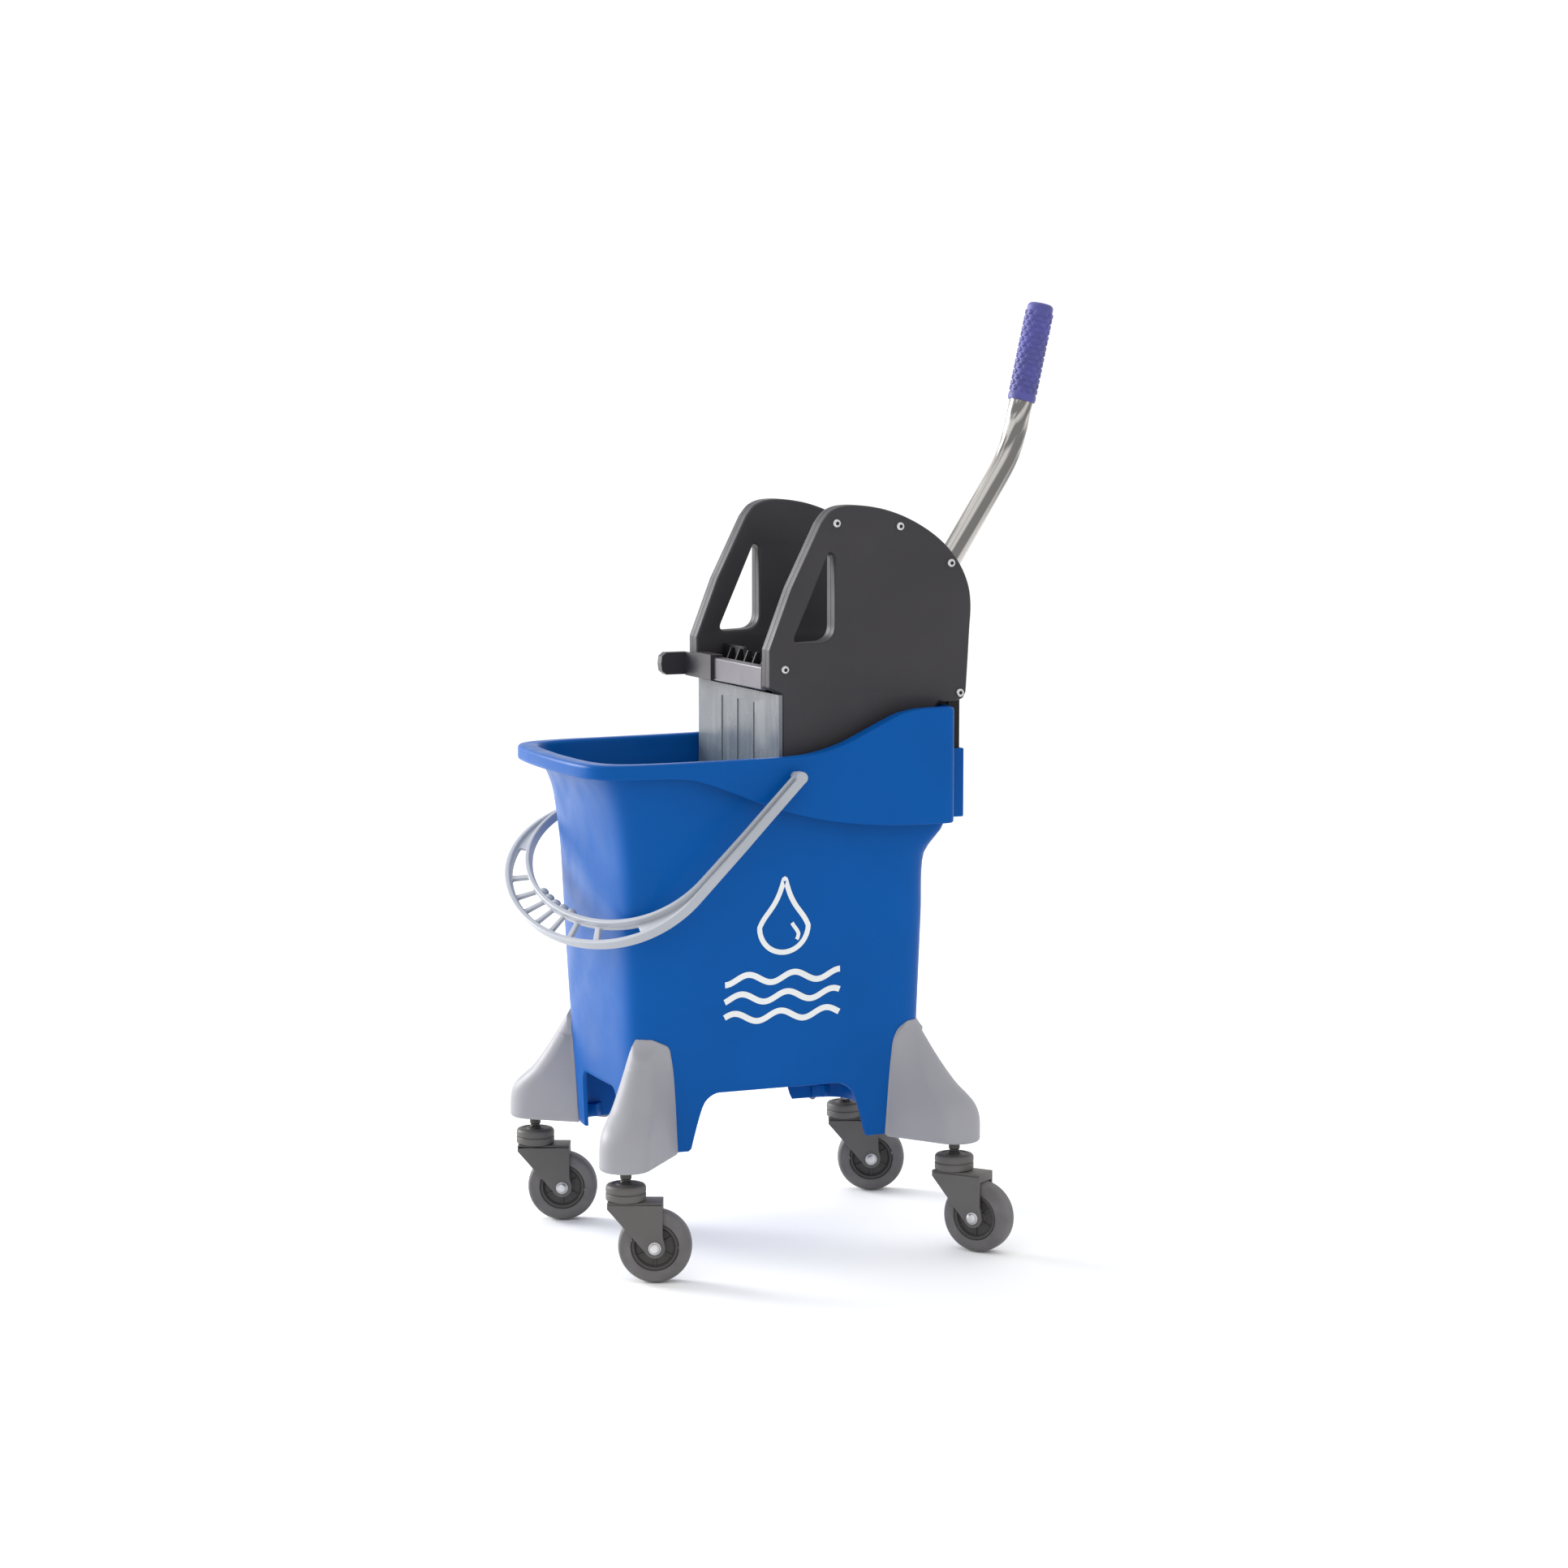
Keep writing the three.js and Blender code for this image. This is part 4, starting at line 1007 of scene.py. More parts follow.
class BuildCasters(bpy.types.Operator):
    """Build the four swivel casters: stem, collar, fork, wheel core, tyre and axle bolt"""

    bl_idname = "mop_bucket.casters"
    bl_label = "Casters"

    def execute(self, context):
        up = Vector((0, 0, 1))
        for corner in CORNERS:
            stem = (STEMS[corner] - ZERO) / MM
            base = at(stem.x, stem.y, 0)
            turn = Matrix.Rotation(math.radians(SWIVEL[corner]), 4, "Z")
            along, across = turn @ Vector((1, 0, 0)), turn @ Vector((0, 1, 0))
            hub = base + along * TRAIL * MM + up * WHEEL_R * MM

            rod = [(0, 76.9), (7.6, 76.9), (9.2, 77.6), (9.4, 78.6), (9.0, 79.7), (5.9, 80), (5.9, 103),
                   (5.0, 104),
                   (5.0, 105.4), (5.9, 106.4), (5.9, 118.4), (0, 118.4)]
            bolt = spindle(rod, base, up, 48)
            add_to(bolt, spindle([(0, 117), (8.4, 117), (9.2, 117.8), (9.2, 118.7), (8.4, 119), (0, 119)],
                                 base, up, 48))
            add_to(bolt, spindle([(0, 118), (5.9, 118), (5.9, 130.2), (5.1, 131), (0, 131)], base, up, 48))
            # the plated stem bolts take the near-black steel, which is painted shade under the feet
            piece(f"caster_bolt_{corner}", outward(bolt), "stem", "bucket", "zinc_steel",
                  [f"caster_stem_{corner}"])

            cup = [(6.3, 84.4), (19.4, 84.4), (20.3, 85.3), (20.5, 86.3), (20.5, 91.2), (20.1, 91.7),
                   (19.3, 91.9),
                   (19.3, 92.7), (20.1, 92.9), (20.5, 93.5), (20.5, 97.4), (20.1, 98.9), (19.0, 100.2),
                   (17.4, 100.8),
                   (14.2, 101.0), (13.6, 100.5), (9.6, 100.4), (9.0, 101.0), (6.3, 101.0), (6.3, 84.4)]
            piece(
                f"caster_cup_{corner}", spindle(cup, base, up, 112), "caster", "bucket", "caster_plastic",
                [f"caster_collar_{corner}"], 32,
            )

            # fork: two cheeks, the plate across them and a short stiffening lip
            lower = arc_points(TRAIL, WHEEL_R, 10.5, 205, 365, 40)
            outline = [(-18.5, 83.6), (-18.5, 77.5), *lower, (37.5, 50), (37.5, 83.6)]
            holes = [arc_points(TRAIL, WHEEL_R, 4.3, 0, 354, 59)]
            fork = bmesh.new()
            for y in (-14.0, 14.0):
                add_to(fork, flat_plate(
                    [(x * MM, z * MM) for x, z in outline],
                    [[(x * MM, z * MM) for x, z in h] for h in holes],
                    3.0 * MM, 0.7 * MM,
                    lambda co, y=y: base + along * co.x + up * co.y - across * (co.z - y * MM),
                ))
            plate = bmesh.new()
            block(plate, Vector((-18.4 * MM, -15.5 * MM, 80.2 * MM)),
                  Vector((37.6 * MM, 15.5 * MM, 84 * MM)), 0.9 * MM, 3)
            block(plate, Vector((34.6 * MM, -13 * MM, 74.6 * MM)), Vector((37.5 * MM, 13 * MM, 83 * MM)),
                  0.9 * MM, 3)
            block(plate, Vector((-18.4 * MM, -13 * MM, 76.5 * MM)), Vector((-15.6 * MM, 13 * MM, 83 * MM)),
                  0.9 * MM, 3)
            for v in plate.verts:
                v.co = base + along * v.co.x + across * v.co.y + up * v.co.z
            add_to(fork, plate)
            add_to(fork, spindle([(6.4, 79.4), (11.5, 79.4), (12.3, 80.2), (12.3, 83.2), (6.4, 83.2),
                                  (6.4, 79.4)], base, up, 64))
            for y in (-1, 1):
                boss = [(4.3, 0.3), (8.4, 0.3), (8.9, -0.1), (9.3, -0.9), (4.3, -0.9), (4.3, 0.3)]
                add_to(fork, spindle(boss, hub + across * y * 15.45 * MM, across * y, 64))
            piece(
                f"caster_yoke_{corner}", outward(fork), "caster", f"swivel_{corner}", "caster_plastic",
                [f"caster_fork_{corner}"], 35,
            )

            axle = bmesh.new()
            add_to(axle, spindle([(0, -17), (4, -17), (4, 17), (0, 17)], hub, across, 48))
            for side in (-1, 1):
                face = hub + across * side * 15.8 * MM
                head = [(0, 0), (6.5, 0), (6.6, 0.5), (6.2, 1.2), (5.6, 1.3)]
                if side < 0:
                    head += [(5.3, 1.5), (5.0, 2.6), (4.2, 3.5), (2.9, 4.0), (1.5, 4.15), (0, 4.15)]
                    add_to(axle, spindle(head, face, across * side, 64))
                else:
                    add_to(axle, spindle(head + [(0, 1.3)], face, across * side, 64))
                    add_to(axle, spindle([(0, 1.2), (5.6, 1.2), (5.8, 1.5), (5.8, 3.6), (5.3, 4.1),
                                          (0, 4.2)], face,
                                         across * side, 6))
            piece(
                f"caster_axle_{corner}", outward(axle), "zinc", f"swivel_{corner}", "zinc_steel",
                [f"axle_bolt_{corner}"], 30,
            )

            web = [(4.4, 11.7), (7.0, 11.7), (7.7, 11.3), (8.2, 10.2), (9.0, 6.9), (9.8, 6.1), (11.0, 5.8),
                   (17.6, 5.8),
                   (19.0, 6.2), (19.9, 7.2), (20.4, 9.0), (20.9, 9.8), (21.6, 10.2), (23.2, 10.2),
                   (24, 9.4)]
            wheel = spindle(mirrored_profile(web), hub, across, 112)
            for k in range(6):
                a = math.tau * (k + 0.5) / 6
                rib = bmesh.new()
                block(rib, Vector((8.4 * MM, -0.9 * MM, -7.6 * MM)),
                      Vector((20.4 * MM, 0.9 * MM, 7.6 * MM)), 0.5 * MM, 2)
                for v in rib.verts:
                    flat = along * v.co.x + up * v.co.y
                    flat.rotate(Matrix.Rotation(a, 3, across))
                    v.co = hub + flat + across * v.co.z
                add_to(wheel, rib)
            piece(
                f"wheel_web_{corner}", outward(wheel), "core", f"wheel_{corner}", "wheel_core_plastic",
                [f"wheel_core_{corner}"], 32,
            )
            tread = [(24.3, 10.6), (24.6, 11.1), (25.2, 11.4), (26.6, 11.5), (33.0, 11.4), (34.6, 10.9),
                     (35.9, 9.8),
                     (36.8, 8.0), (37.3, 5.6), (37.5, 2.4)]
            piece(
                f"tyre_ring_{corner}", spindle(mirrored_profile(tread), hub, across, 144), "tyre",
                f"wheel_{corner}",
                "tyre_rubber", [f"wheel_tyre_{corner}"], 40,
            )
        return {"FINISHED"}


# ---------------------------------------------------------------- bail

BAIL_PIVOT = (2.5, 507)
BAIL_SLOPE, BAIL_TWIST = math.radians(34), math.radians(10)


def hoop(reach, width0, width1, turn, power=1.95, steps=48):
    """Half a hoop: distance along the bail from the pivot, and half width."""
    points = [(turn * 0.55 * k / 8, width0 + (width1 - width0) * 0.75 * k / 8) for k in range(8)]
    points.append((turn * 0.55, width0 + (width1 - width0) * 0.75))
    for i in range(steps + 1):
        a = math.pi / 2 * i / steps
        c = max(0.0, math.cos(a))
        points.append((turn + (reach - turn) * math.sin(a) ** (2 / power), width1 * c ** (2 / power)))
    return points


def whole_hoop(points):
    return points + [(s, -y) for s, y in reversed(points[:-1])]


def hoop_ring(outer, inner):
    """Closed outline of the band between two hoops."""
    return whole_hoop(outer) + whole_hoop(inner)[::-1]


def on_bail(s, y, h):
    """A place on the bail, which hangs twisted: s along it from the pivot, y across, h above its plane."""
    slope = BAIL_SLOPE - BAIL_TWIST * y / 165
    c, w = math.cos(slope), math.sin(slope)
    return at(BAIL_PIVOT[0] - s * c - h * w, y, BAIL_PIVOT[1] - s * w + h * c)


class BuildBail(bpy.types.Operator):
    """Build the carrying bail: two rails joined by a pierced web, finger grips and pivot pegs"""

    bl_idname = "mop_bucket.bail"
    bl_label = "Bail"

    def execute(self, context):
        bm = bmesh.new()

        def plate(outline, holes, low, high, edge):
            add_to(bm, flat_plate(
                [(s * MM, y * MM) for s, y in outline], [[(s * MM, y * MM) for s, y in h] for h in holes],
                (high - low) * MM, edge * MM,
                lambda co: on_bail(co.x / MM, co.y / MM, (high + low) / 2 + co.z / MM),
            ))

        outer = hoop(285, 163, 172, 168)
        outer_in = hoop(279.5, 158.6, 167.4, 165)
        inner_out = hoop(257.5, 155.2, 164.2, 152)
        inner = hoop(252, 151, 160, 150)
        plate(hoop_ring(outer, outer_in), [], -6, 3.2, 1.3)
        plate(hoop_ring(inner_out, inner), [], -3.2, 6, 1.3)

        # web between the rails, pierced at the front
        web_out, web_in = hoop(281, 160.5, 169.5, 166), hoop(255, 153.2, 162.2, 151)
        windows = []
        reach_out, reach_in = hoop(278.6, 157.5, 166.5, 164.5), hoop(258.4, 156, 165, 152.5)

        def crossing(points, angle):
            """Where a line from the hoop's centre at this angle meets the outline."""
            best = None
            full = whole_hoop(points)
            for (s0, y0), (s1, y1) in zip(full, full[1:]):
                d = (math.sin(angle), math.cos(angle))
                a0 = (s0 - 178) * d[0] - y0 * d[1]
                a1 = (s1 - 178) * d[0] - y1 * d[1]
                if a0 * a1 <= 0 and a0 != a1:
                    t = a0 / (a0 - a1)
                    s, y = s0 + (s1 - s0) * t, y0 + (y1 - y0) * t
                    if (s - 178) * d[1] + y * d[0] > 0 and (best is None or s > best[0]):
                        best = (s, y)
            return best

        rungs = [-1.27, -0.86, -0.55, -0.27, 0.0, 0.27, 0.55, 0.86, 1.27]
        for first, second in zip(rungs, rungs[1:]):
            top, low = [], []
            for k in range(13):
                a = first + 0.028 + (second - first - 0.056) * k / 12
                p, q = crossing(reach_out, a), crossing(reach_in, a)
                top.append(Vector(p))
                low.append(Vector(q))
            loop = [tuple(p) for p in top] + [tuple(p) for p in reversed(low)]
            windows.append(round_corners(loop, 2.6))
        plate(hoop_ring(web_out, web_in), windows, -3.6, -0.2, 0.5)

        # finger grips on the inside of the inner rail
        for k in range(-2, 3):
            s, y = 251.2 - 0.9 * k * k * 0.55, k * 15.5
            knob = bmesh.new()
            bmesh.ops.create_uvsphere(knob, u_segments=20, v_segments=12, radius=1.0)
            for v in knob.verts:
                v.co = on_bail(s + v.co.x * 5.0, y + v.co.y * 6.2, 1.4 + v.co.z * 4.4)
            add_to(bm, knob)

        # round ends and the pegs
        for side in (-1, 1):
            end = [(0, 151.2), (5.0, 151.2), (5.9, 151.6), (6.2, 152.6), (6.2, 161.6), (5.9, 162.6),
                   (5.0, 163.0), (0, 163.0)]
            pivot = at(BAIL_PIVOT[0], 0, BAIL_PIVOT[1])
            add_to(bm, spindle(end, pivot, Vector((0, side, 0)), 64))
            add_to(bm, spindle([(0, 138.2), (4.2, 138.2), (5, 139), (5, 152), (0, 152)], pivot,
                               Vector((0, side, 0)), 48))
        piece("carrying_bail", outward(bm), "bail", "bail", "bail_plastic", ["bail_handle"], 40)
        return {"FINISHED"}


def round_corners(loop, radius, turn=50.0):
    """The same outline with its sharp corners cut round."""
    out = []
    n = len(loop)
    for i, p in enumerate(loop):
        a, b = Vector(loop[i - 1]), Vector(loop[(i + 1) % n])
        p = Vector(p)
        u, w = (a - p), (b - p)
        if u.length < 1e-6 or w.length < 1e-6:
            continue
        angle = math.degrees(u.angle(w))
        if 180 - angle < turn:
            out.append(tuple(p))
            continue
        cut = min(radius / math.tan(math.radians(angle) / 2), u.length * 0.9, w.length * 0.9)
        start, end = p + u.normalized() * cut, p + w.normalized() * cut
        for k in range(7):
            t = k / 6
            q = start * (1 - t) ** 2 + p * 2 * t * (1 - t) + end * t**2
            out.append(tuple(q))
    return out


# ---------------------------------------------------------------- wringer

HOUSE_ARCH = [(43, 762), (51, 772), (58, 776.6), (66, 779.2), (76, 780.2), (85, 780.1), (94, 779.3),
              (104, 777.8),
              (114.5, 775.6), (125, 772.5), (135, 768.9), (145.5, 764.2), (156, 758.7), (166.5, 752.2),
              (177, 744.4),
              (187, 735.2), (195.5, 725.2), (203, 713.6), (208.5, 701.5), (211.8, 690), (213.2, 678),
              (213.2, 666),
              (212, 650), (210.4, 620)]
HOUSE_FRONT = [(1, 446), (1, 588), (-14, 594), (-14, 634), (10, 696)]
HOUSE_REAR = [(208.2, 584), (204.6, 577.2), (198, 575), (176, 574.5), (171, 567), (168, 446)]
# corners of the hand slot, each with how far from it the rounding starts
HAND_SLOT = [((52.5, 733), 3), ((58.5, 729), 3), ((58.5, 641), 17), ((10.8, 639.3), 10)]
SCREW_SPOTS = [(60.2, 761.9), (131.5, 757.8), (189.7, 718.9), (2.9, 613.3), (200.5, 583.4)]


def smooth_run(points, steps):
    """A smooth line through points."""
    out = []
    for i in range(len(points) - 1):
        a, b, c, d = (Vector(points[max(0, min(len(points) - 1, i + k))]) for k in (-1, 0, 1, 2))
        for k in range(steps):
            t = k / steps
            out.append(tuple(0.5 * (2 * b + (c - a) * t + (2 * a - 5 * b + 4 * c - d) * t**2
                                    + (3 * b - a - 3 * c + d) * t**3)))
    return out + [tuple(points[-1])]


def rounded_loop(corners):
    """An outline whose corners are rounded, each from its own distance."""
    out = []
    for i, (p, cut) in enumerate(corners):
        p, a, b = Vector(p), Vector(corners[i - 1][0]), Vector(corners[(i + 1) % len(corners)][0])
        start, end = p + (a - p).normalized() * cut, p + (b - p).normalized() * cut
        for k in range(11):
            t = k / 10
            out.append(tuple(start * (1 - t) ** 2 + p * 2 * t * (1 - t) + end * t**2))
    return out


class BuildHousings(bpy.types.Operator):
    """Build the wringer's two hollow side housings with their hand slots and screws"""

    bl_idname = "mop_bucket.housings"
    bl_label = "Side Housings"

    def execute(self, context):
        whole = HOUSE_FRONT + smooth_run(HOUSE_ARCH, 5) + HOUSE_REAR
        outline = [(x * MM, z * MM) for x, z in round_corners(whole, 4.0, 14.0)]
        slot = [(x * MM, z * MM) for x, z in rounded_loop(HAND_SLOT)]
        for side, name in ((-1, "near"), (1, "far")):
            for low, high, seam_low, label, node in (
                (103.5, 115.0, True, "housing_cover", "wringer_cover"),
                (92.0, 103.2, False, "housing_inner", "wringer_inner")
            ):
                bm = bmesh.new()

                def standing(y):
                    return lambda co: at(co.x / MM, (y + co.z / MM) * side, co.y / MM)

                add_to(bm, flat_plate(outline, [slot], (high - low) * MM, 2.6 * MM,
                                      standing((low + high) / 2)))
                if seam_low:
                    a, b = low, high - 3.2
                else:
                    a, b = low + 3.2, high
                add_to(bm, flat_plate(outline, [slot], (b - a) * MM, 0.4 * MM, standing((a + b) / 2),
                                      0.04 * MM))
                piece(f"{label}_{name}", outward(bm), "dark", "wringer", "dark_grey_plastic",
                      [f"{node}_{name}"], 35)

        # one button screw with a hexagon recess, then its copies
        head = spindle(
            [(0, -1), (4.4, -1), (4.4, 0.7), (4.15, 1.35), (3.6, 1.9), (2.9, 2.25), (2.2, 2.35), (0, 2.35)],
            Vector((0, 0, 0)), Vector((0, 0, 1)), 64,
        )
        recess = spindle([(0, -0.8), (2.15, -0.8), (2.15, 4), (0, 4)], Vector((0, 0, 0)), Vector((0, 0, 1)),
                         6)
        made = carved(head, recess)
        template = bpy.data.meshes.new("button_screw")
        made.to_mesh(template)
        made.free()
        for side, name in ((-1, "near"), (1, "far")):
            for i, (x, z) in enumerate(SCREW_SPOTS):
                bm = bmesh.new()
                bm.from_mesh(template)
                for v in bm.verts:
                    v.co = at(x + v.co.x / MM, (115.1 + v.co.z / MM) * side, z + v.co.y / MM)
                piece(
                    f"button_screw_{name}_{i + 1}", outward(bm), "zinc", "wringer", "zinc_steel",
                    [f"housing_screw_{name}_{i + 1}"], 30,
                )
        bpy.data.meshes.remove(template)
        return {"FINISHED"}


class BuildWringer(bpy.types.Operator):
    """Build the wringer's panel, lip, mop rest, grids, hook, jaw and its shaft"""

    bl_idname = "mop_bucket.wringer"
    bl_label = "Wringer"

    def execute(self, context):
        edge = context.scene.mop_wringer.edge
        for node, name, finish, slot, body, width in (
            ("wringer_front_panel", "splash_panel", "panel", "panel_plastic", "wringer", 0.5 * MM),
            ("wringer_lip_bar", "lip_bar", "lip", "dark_grey_plastic", "wringer", edge),
            ("mop_rest_bracket", "mop_rest", "rest", "dark_grey_plastic", "wringer", edge),
            # the press grid, floor grid and jaw take the darker copy of the dark grey as painted shade; the
            # back hook is near-black plastic
            ("wringer_press_grid", "press_grid", "black_and_painted_shade", "dark_grey_plastic", "wringer", 0.5 * MM),
            ("wringer_floor_grid", "floor_grid", "black_and_painted_shade", "dark_grey_plastic", "wringer", 0.5 * MM),
            ("wringer_back_hook", "back_hook", "black_and_painted_shade", "dark_grey_plastic", "wringer", edge),
            ("wringer_jaw", "press_jaw", "black_and_painted_shade", "dark_grey_plastic", "lever", 0.5 * MM),
            ("jaw_shaft", "jaw_axle", "zinc", "zinc_steel", "wringer", 0.4 * MM),
            ("jaw_bush_near", "jaw_bearing_near", "light_grey", "light_grey_plastic", "wringer", 0.4 * MM),
            ("jaw_bush_far", "jaw_bearing_far", "light_grey", "light_grey_plastic", "wringer", 0.4 * MM),
        ):
            bm = from_node(node)
            obj = piece(name, bm, finish, body, slot, [node], 30)
            bevel = obj.modifiers.new("edges", "BEVEL")
            bevel.width = width
            bevel.segments = 3
            bevel.limit_method = "ANGLE"
            bevel.angle_limit = math.radians(35)
            bevel.use_clamp_overlap = True
            bevel.harden_normals = False
        return {"FINISHED"}


# ---------------------------------------------------------------- lever

JAW_PIVOT = (78, 458)
LEAN = math.radians(32.4)
BEND_END, LEVER_TOP = Vector((321.5, 0, 864)), Vector((349.5, 0, 989.5))


def lever_points(start, past_bend):
    """The middle line of the lever, from a distance above the pivot to a distance past the bend."""
    lean = Vector((math.sin(LEAN), 0, math.cos(LEAN)))
    pivot = Vector((JAW_PIVOT[0], 0, JAW_PIVOT[1]))
    bend = pivot + lean * ((806 - JAW_PIVOT[1]) / math.cos(LEAN))
    up = (LEVER_TOP - BEND_END).normalized()
    reach = (BEND_END - bend).length * 0.36
    a, b = bend + lean * reach, BEND_END - up * reach
    points = [(pivot + lean * start).lerp(bend, k / 12) for k in range(12)]
    for k in range(29):
        t = k / 28
        points.append(
            bend * (1 - t) ** 3 + a * 3 * t * (1 - t) ** 2 + b * 3 * t**2 * (1 - t) + BEND_END * t**3
        )
    points += [BEND_END + up * past_bend * k / 8 for k in range(1, 9)]
    return [at(*p) for p in points]


class BuildLever(bpy.types.Operator):
    """Build the lever: socket, bent chromed tube, clamping bolt and knobbed rubber grip"""

    bl_idname = "mop_bucket.lever"
    bl_label = "Lever"

    def execute(self, context):
        lean = Vector((math.sin(LEAN), 0, math.cos(LEAN)))
        pivot = at(JAW_PIVOT[0], 0, JAW_PIVOT[1])

        sleeve = [(0, 18), (15.6, 18), (16.7, 18.9), (17, 20), (17, 108), (16.6, 109), (16.6, 111),
                  (17, 112), (17, 116),
                  (16.4, 117.6), (15.2, 118), (13.3, 118), (12.8, 117.4), (12.8, 34), (0, 34)]
        piece("tube_socket", spindle(sleeve, pivot, lean, 96), "dark", "lever", "dark_grey_plastic",
              ["lever_socket"], 32)

        path = lever_points(34.5, 118)
        bm = bmesh.new()
        swept(bm, path, lambda u, v: (12.5 * MM * math.cos(math.tau * u),
                                      12.5 * MM * math.sin(math.tau * u)), 72)
        piece("bent_tube", outward(bm), "chrome", "lever", "chromed_tube", ["lever_tube"], 50)

        bolt = bmesh.new()
        at_bolt = pivot + lean * 92 * MM
        across = Vector((0, 1, 0))
        add_to(bolt, spindle([(0, -17.2), (3, -17.2), (3, 17.2), (0, 17.2)], at_bolt, across, 32))
        add_to(bolt, spindle([(0, 17.3), (5.5, 17.3), (5.5, 18.2), (4.9, 19.4), (3.4, 20.2), (1.4, 20.5),
                              (0, 20.5)],
                             at_bolt, -across, 48))
        add_to(bolt, spindle([(0, 17.3), (5.3, 17.3), (5.5, 17.6), (5.5, 20), (5.0, 20.5), (0, 20.5)],
                             at_bolt, across, 6))
        piece("clamping_bolt", outward(bolt), "zinc", "lever", "zinc_steel", ["lever_bolt"], 30)

        # grip: rows of lozenge knobs between two plain collars, closed by a domed end
        up = (LEVER_TOP - BEND_END).normalized()
        side = up.cross(Vector((0, 1, 0))).normalized()
        rows, columns = 15, 10
        bottom, top = 22.0, 128.6
        count = 220

        def radius(u, t):
            s = bottom + (top - bottom) * t
            plain = 14.0
            collar = max(0.0, 1 - abs(s - bottom - 4.0) / 4.2) ** 0.35 * 1.2 if s < bottom + 8.2 else 0.0
            knobs = 0.0
            if bottom + 9 < s < top - 9:
                row = (s - bottom - 9) / (top - bottom - 18) * rows
                index = math.floor(row)
                dv = abs(row - index - 0.5) / 0.5
                col = u * columns + 0.5 * (index % 2)
                du = abs(col - math.floor(col) - 0.5) / 0.5
                knobs = min(1.0, max(0.0, 1.12 - (du / 0.86) ** 1.3 - (dv / 0.98) ** 1.3) * 2.2)
                knobs = knobs * knobs * (3 - 2 * knobs) * 1.35
            end = top - s
            if end < 5:
                plain -= 5 - math.sqrt(max(0.0, 25 - (5 - end) ** 2))
            return plain + collar + knobs

        def grip_place(u, v):
            if v > 0.985:
                t, shrink = 1.0, (1 - v) / 0.015
            elif v < 0.01:
                t, shrink = 0.0, 0.9 + 0.1 * v / 0.01
            else:
                t, shrink = (v - 0.01) / 0.975, 1.0
            r = radius(u, min(1.0, t)) * shrink
            a = math.tau * u
            centre = BEND_END + up * (bottom + (top - bottom) * t)
            return at(*(centre + side * r * math.cos(a) + Vector((0, r * math.sin(a), 0))))

        bm = bmesh.new()
        sheet_of(bm, 120, count, grip_place)
        close_ends(bm)
        bmesh.ops.dissolve_degenerate(bm, dist=1e-7, edges=bm.edges)
        piece("knobbed_grip", outward(bm), "grip", "lever", "grip_rubber", ["lever_grip"], 60)
        return {"FINISHED"}


# ---------------------------------------------------------------- stage


def area_light(name, place, aim, size, watts, colour=(1, 1, 1), size_y=None):
    data = bpy.data.lights.new(name, "AREA")
    data.energy = watts
    data.color = colour
    data.size = size
    if size_y:
        data.shape = "RECTANGLE"
        data.size_y = size_y
    obj = bpy.data.objects.new(name, data)
    bpy.context.scene.collection.objects.link(obj)
    obj.location = place
    obj.rotation_euler = (Vector(aim) - Vector(place)).to_track_quat("-Z", "Y").to_euler()
    return obj


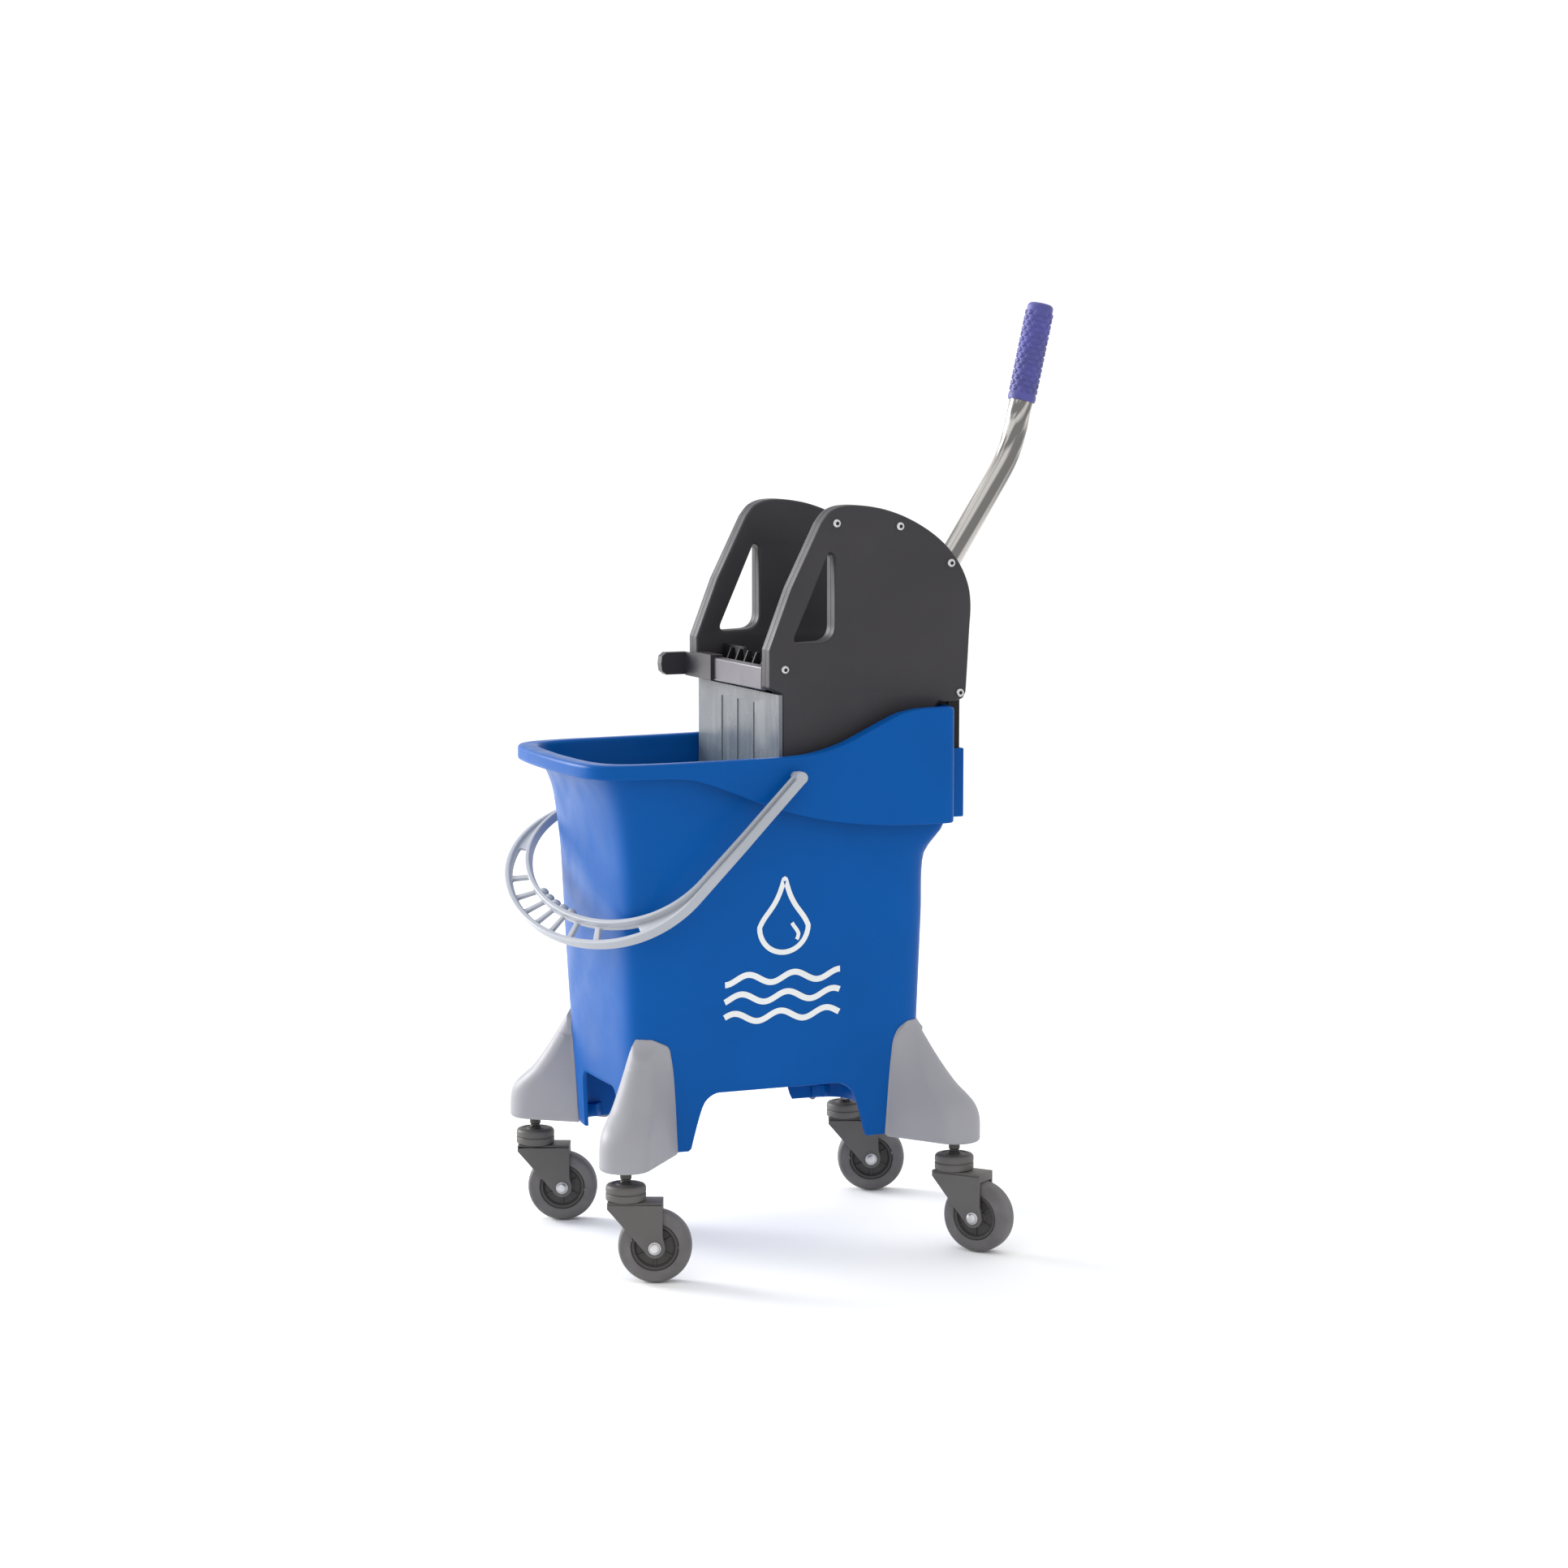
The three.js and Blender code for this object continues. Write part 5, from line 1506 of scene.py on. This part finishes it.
class BuildStage(bpy.types.Operator):
    """Set the pale floor, the soft lights and the camera"""

    bl_idname = "mop_bucket.stage"
    bl_label = "Stage"

    def execute(self, context):
        scene = context.scene
        sizes = scene.mop_stage
        bm = bmesh.new()
        bmesh.ops.create_grid(bm, x_segments=1, y_segments=1, size=sizes.floor / 2)
        mesh = bpy.data.meshes.new("studio_floor")
        bm.to_mesh(mesh)
        bm.free()
        mat, tree, shader = surface("pale_floor", (0.95, 0.95, 0.95), 0.8)
        mottle = grain(tree, 5.0, 4.0)
        tree.links.new(tint(tree, mottle, (0.945, 0.945, 0.945), (0.955, 0.955, 0.955)),
                       shader.inputs["Base Color"])
        mesh.materials.append(mat)
        floor = bpy.data.objects.new("studio_floor", mesh)
        scene.collection.objects.link(floor)

        world = bpy.data.worlds.new("studio_world")
        world.use_nodes = True
        world.node_tree.nodes["Background"].inputs["Color"].default_value = (1, 1, 1, 1)
        world.node_tree.nodes["Background"].inputs["Strength"].default_value = 1.1
        scene.world = world
        area_light("key_left", (-2.6, 2.9, 1.6), (0, 0, 0.35), 1.8, 175)
        area_light("top_soft", (-0.6, 0.6, 3.6), (0, 0, 0.4), 1.6, 14)
        scene.view_settings.view_transform = "Standard"

        data = bpy.data.cameras.new("camera")
        data.lens = sizes.lens
        data.sensor_width = 36.0
        data.clip_end = 60.0
        camera = bpy.data.objects.new("camera", data)
        scene.collection.objects.link(camera)
        camera.location = at(-1353.88, -3388.38, 905.19)
        camera.rotation_euler = (math.radians(90 - 6.587), 0, math.radians(-22.497))
        scene.camera = camera
        return {"FINISHED"}


# ---------------------------------------------------------------- panel and registration


class MopBucketPanel(bpy.types.Panel):
    """The bucket's pieces, in building order"""

    bl_idname = "VIEW3D_PT_mop_bucket"
    bl_label = "Mop Bucket"
    bl_space_type = "VIEW_3D"
    bl_region_type = "UI"
    bl_category = "Mop Bucket"

    def draw(self, context):
        for group in ("mop_bucket", "mop_trim", "mop_wringer", "mop_stage"):
            sizes = getattr(context.scene, group)
            box = self.layout.box()
            for name in sizes.bl_rna.properties.keys():
                if name not in ("rna_type", "name"):
                    box.prop(sizes, name)
        for builder in BUILDERS:
            self.layout.operator(builder.bl_idname)


BUILDERS = (BuildStage, BuildBucket, BuildFeet, BuildCasters, BuildBail, BuildHousings, BuildWringer,
            BuildLever)
GROUPS = {"mop_bucket": BucketSizes, "mop_trim": TrimSizes, "mop_wringer": WringerSizes,
          "mop_stage": StageSizes}


def register():
    for cls in (*GROUPS.values(), *BUILDERS, MopBucketPanel):
        bpy.utils.register_class(cls)
    for name, group in GROUPS.items():
        setattr(bpy.types.Scene, name, bpy.props.PointerProperty(type=group))


def unregister():
    for name in GROUPS:
        delattr(bpy.types.Scene, name)
    for cls in reversed((*GROUPS.values(), *BUILDERS, MopBucketPanel)):
        bpy.utils.unregister_class(cls)


def main():
    register()
    for builder in BUILDERS:
        area, name = builder.bl_idname.split(".")
        getattr(getattr(bpy.ops, area), name)()


if __name__ == "__main__":
    main()
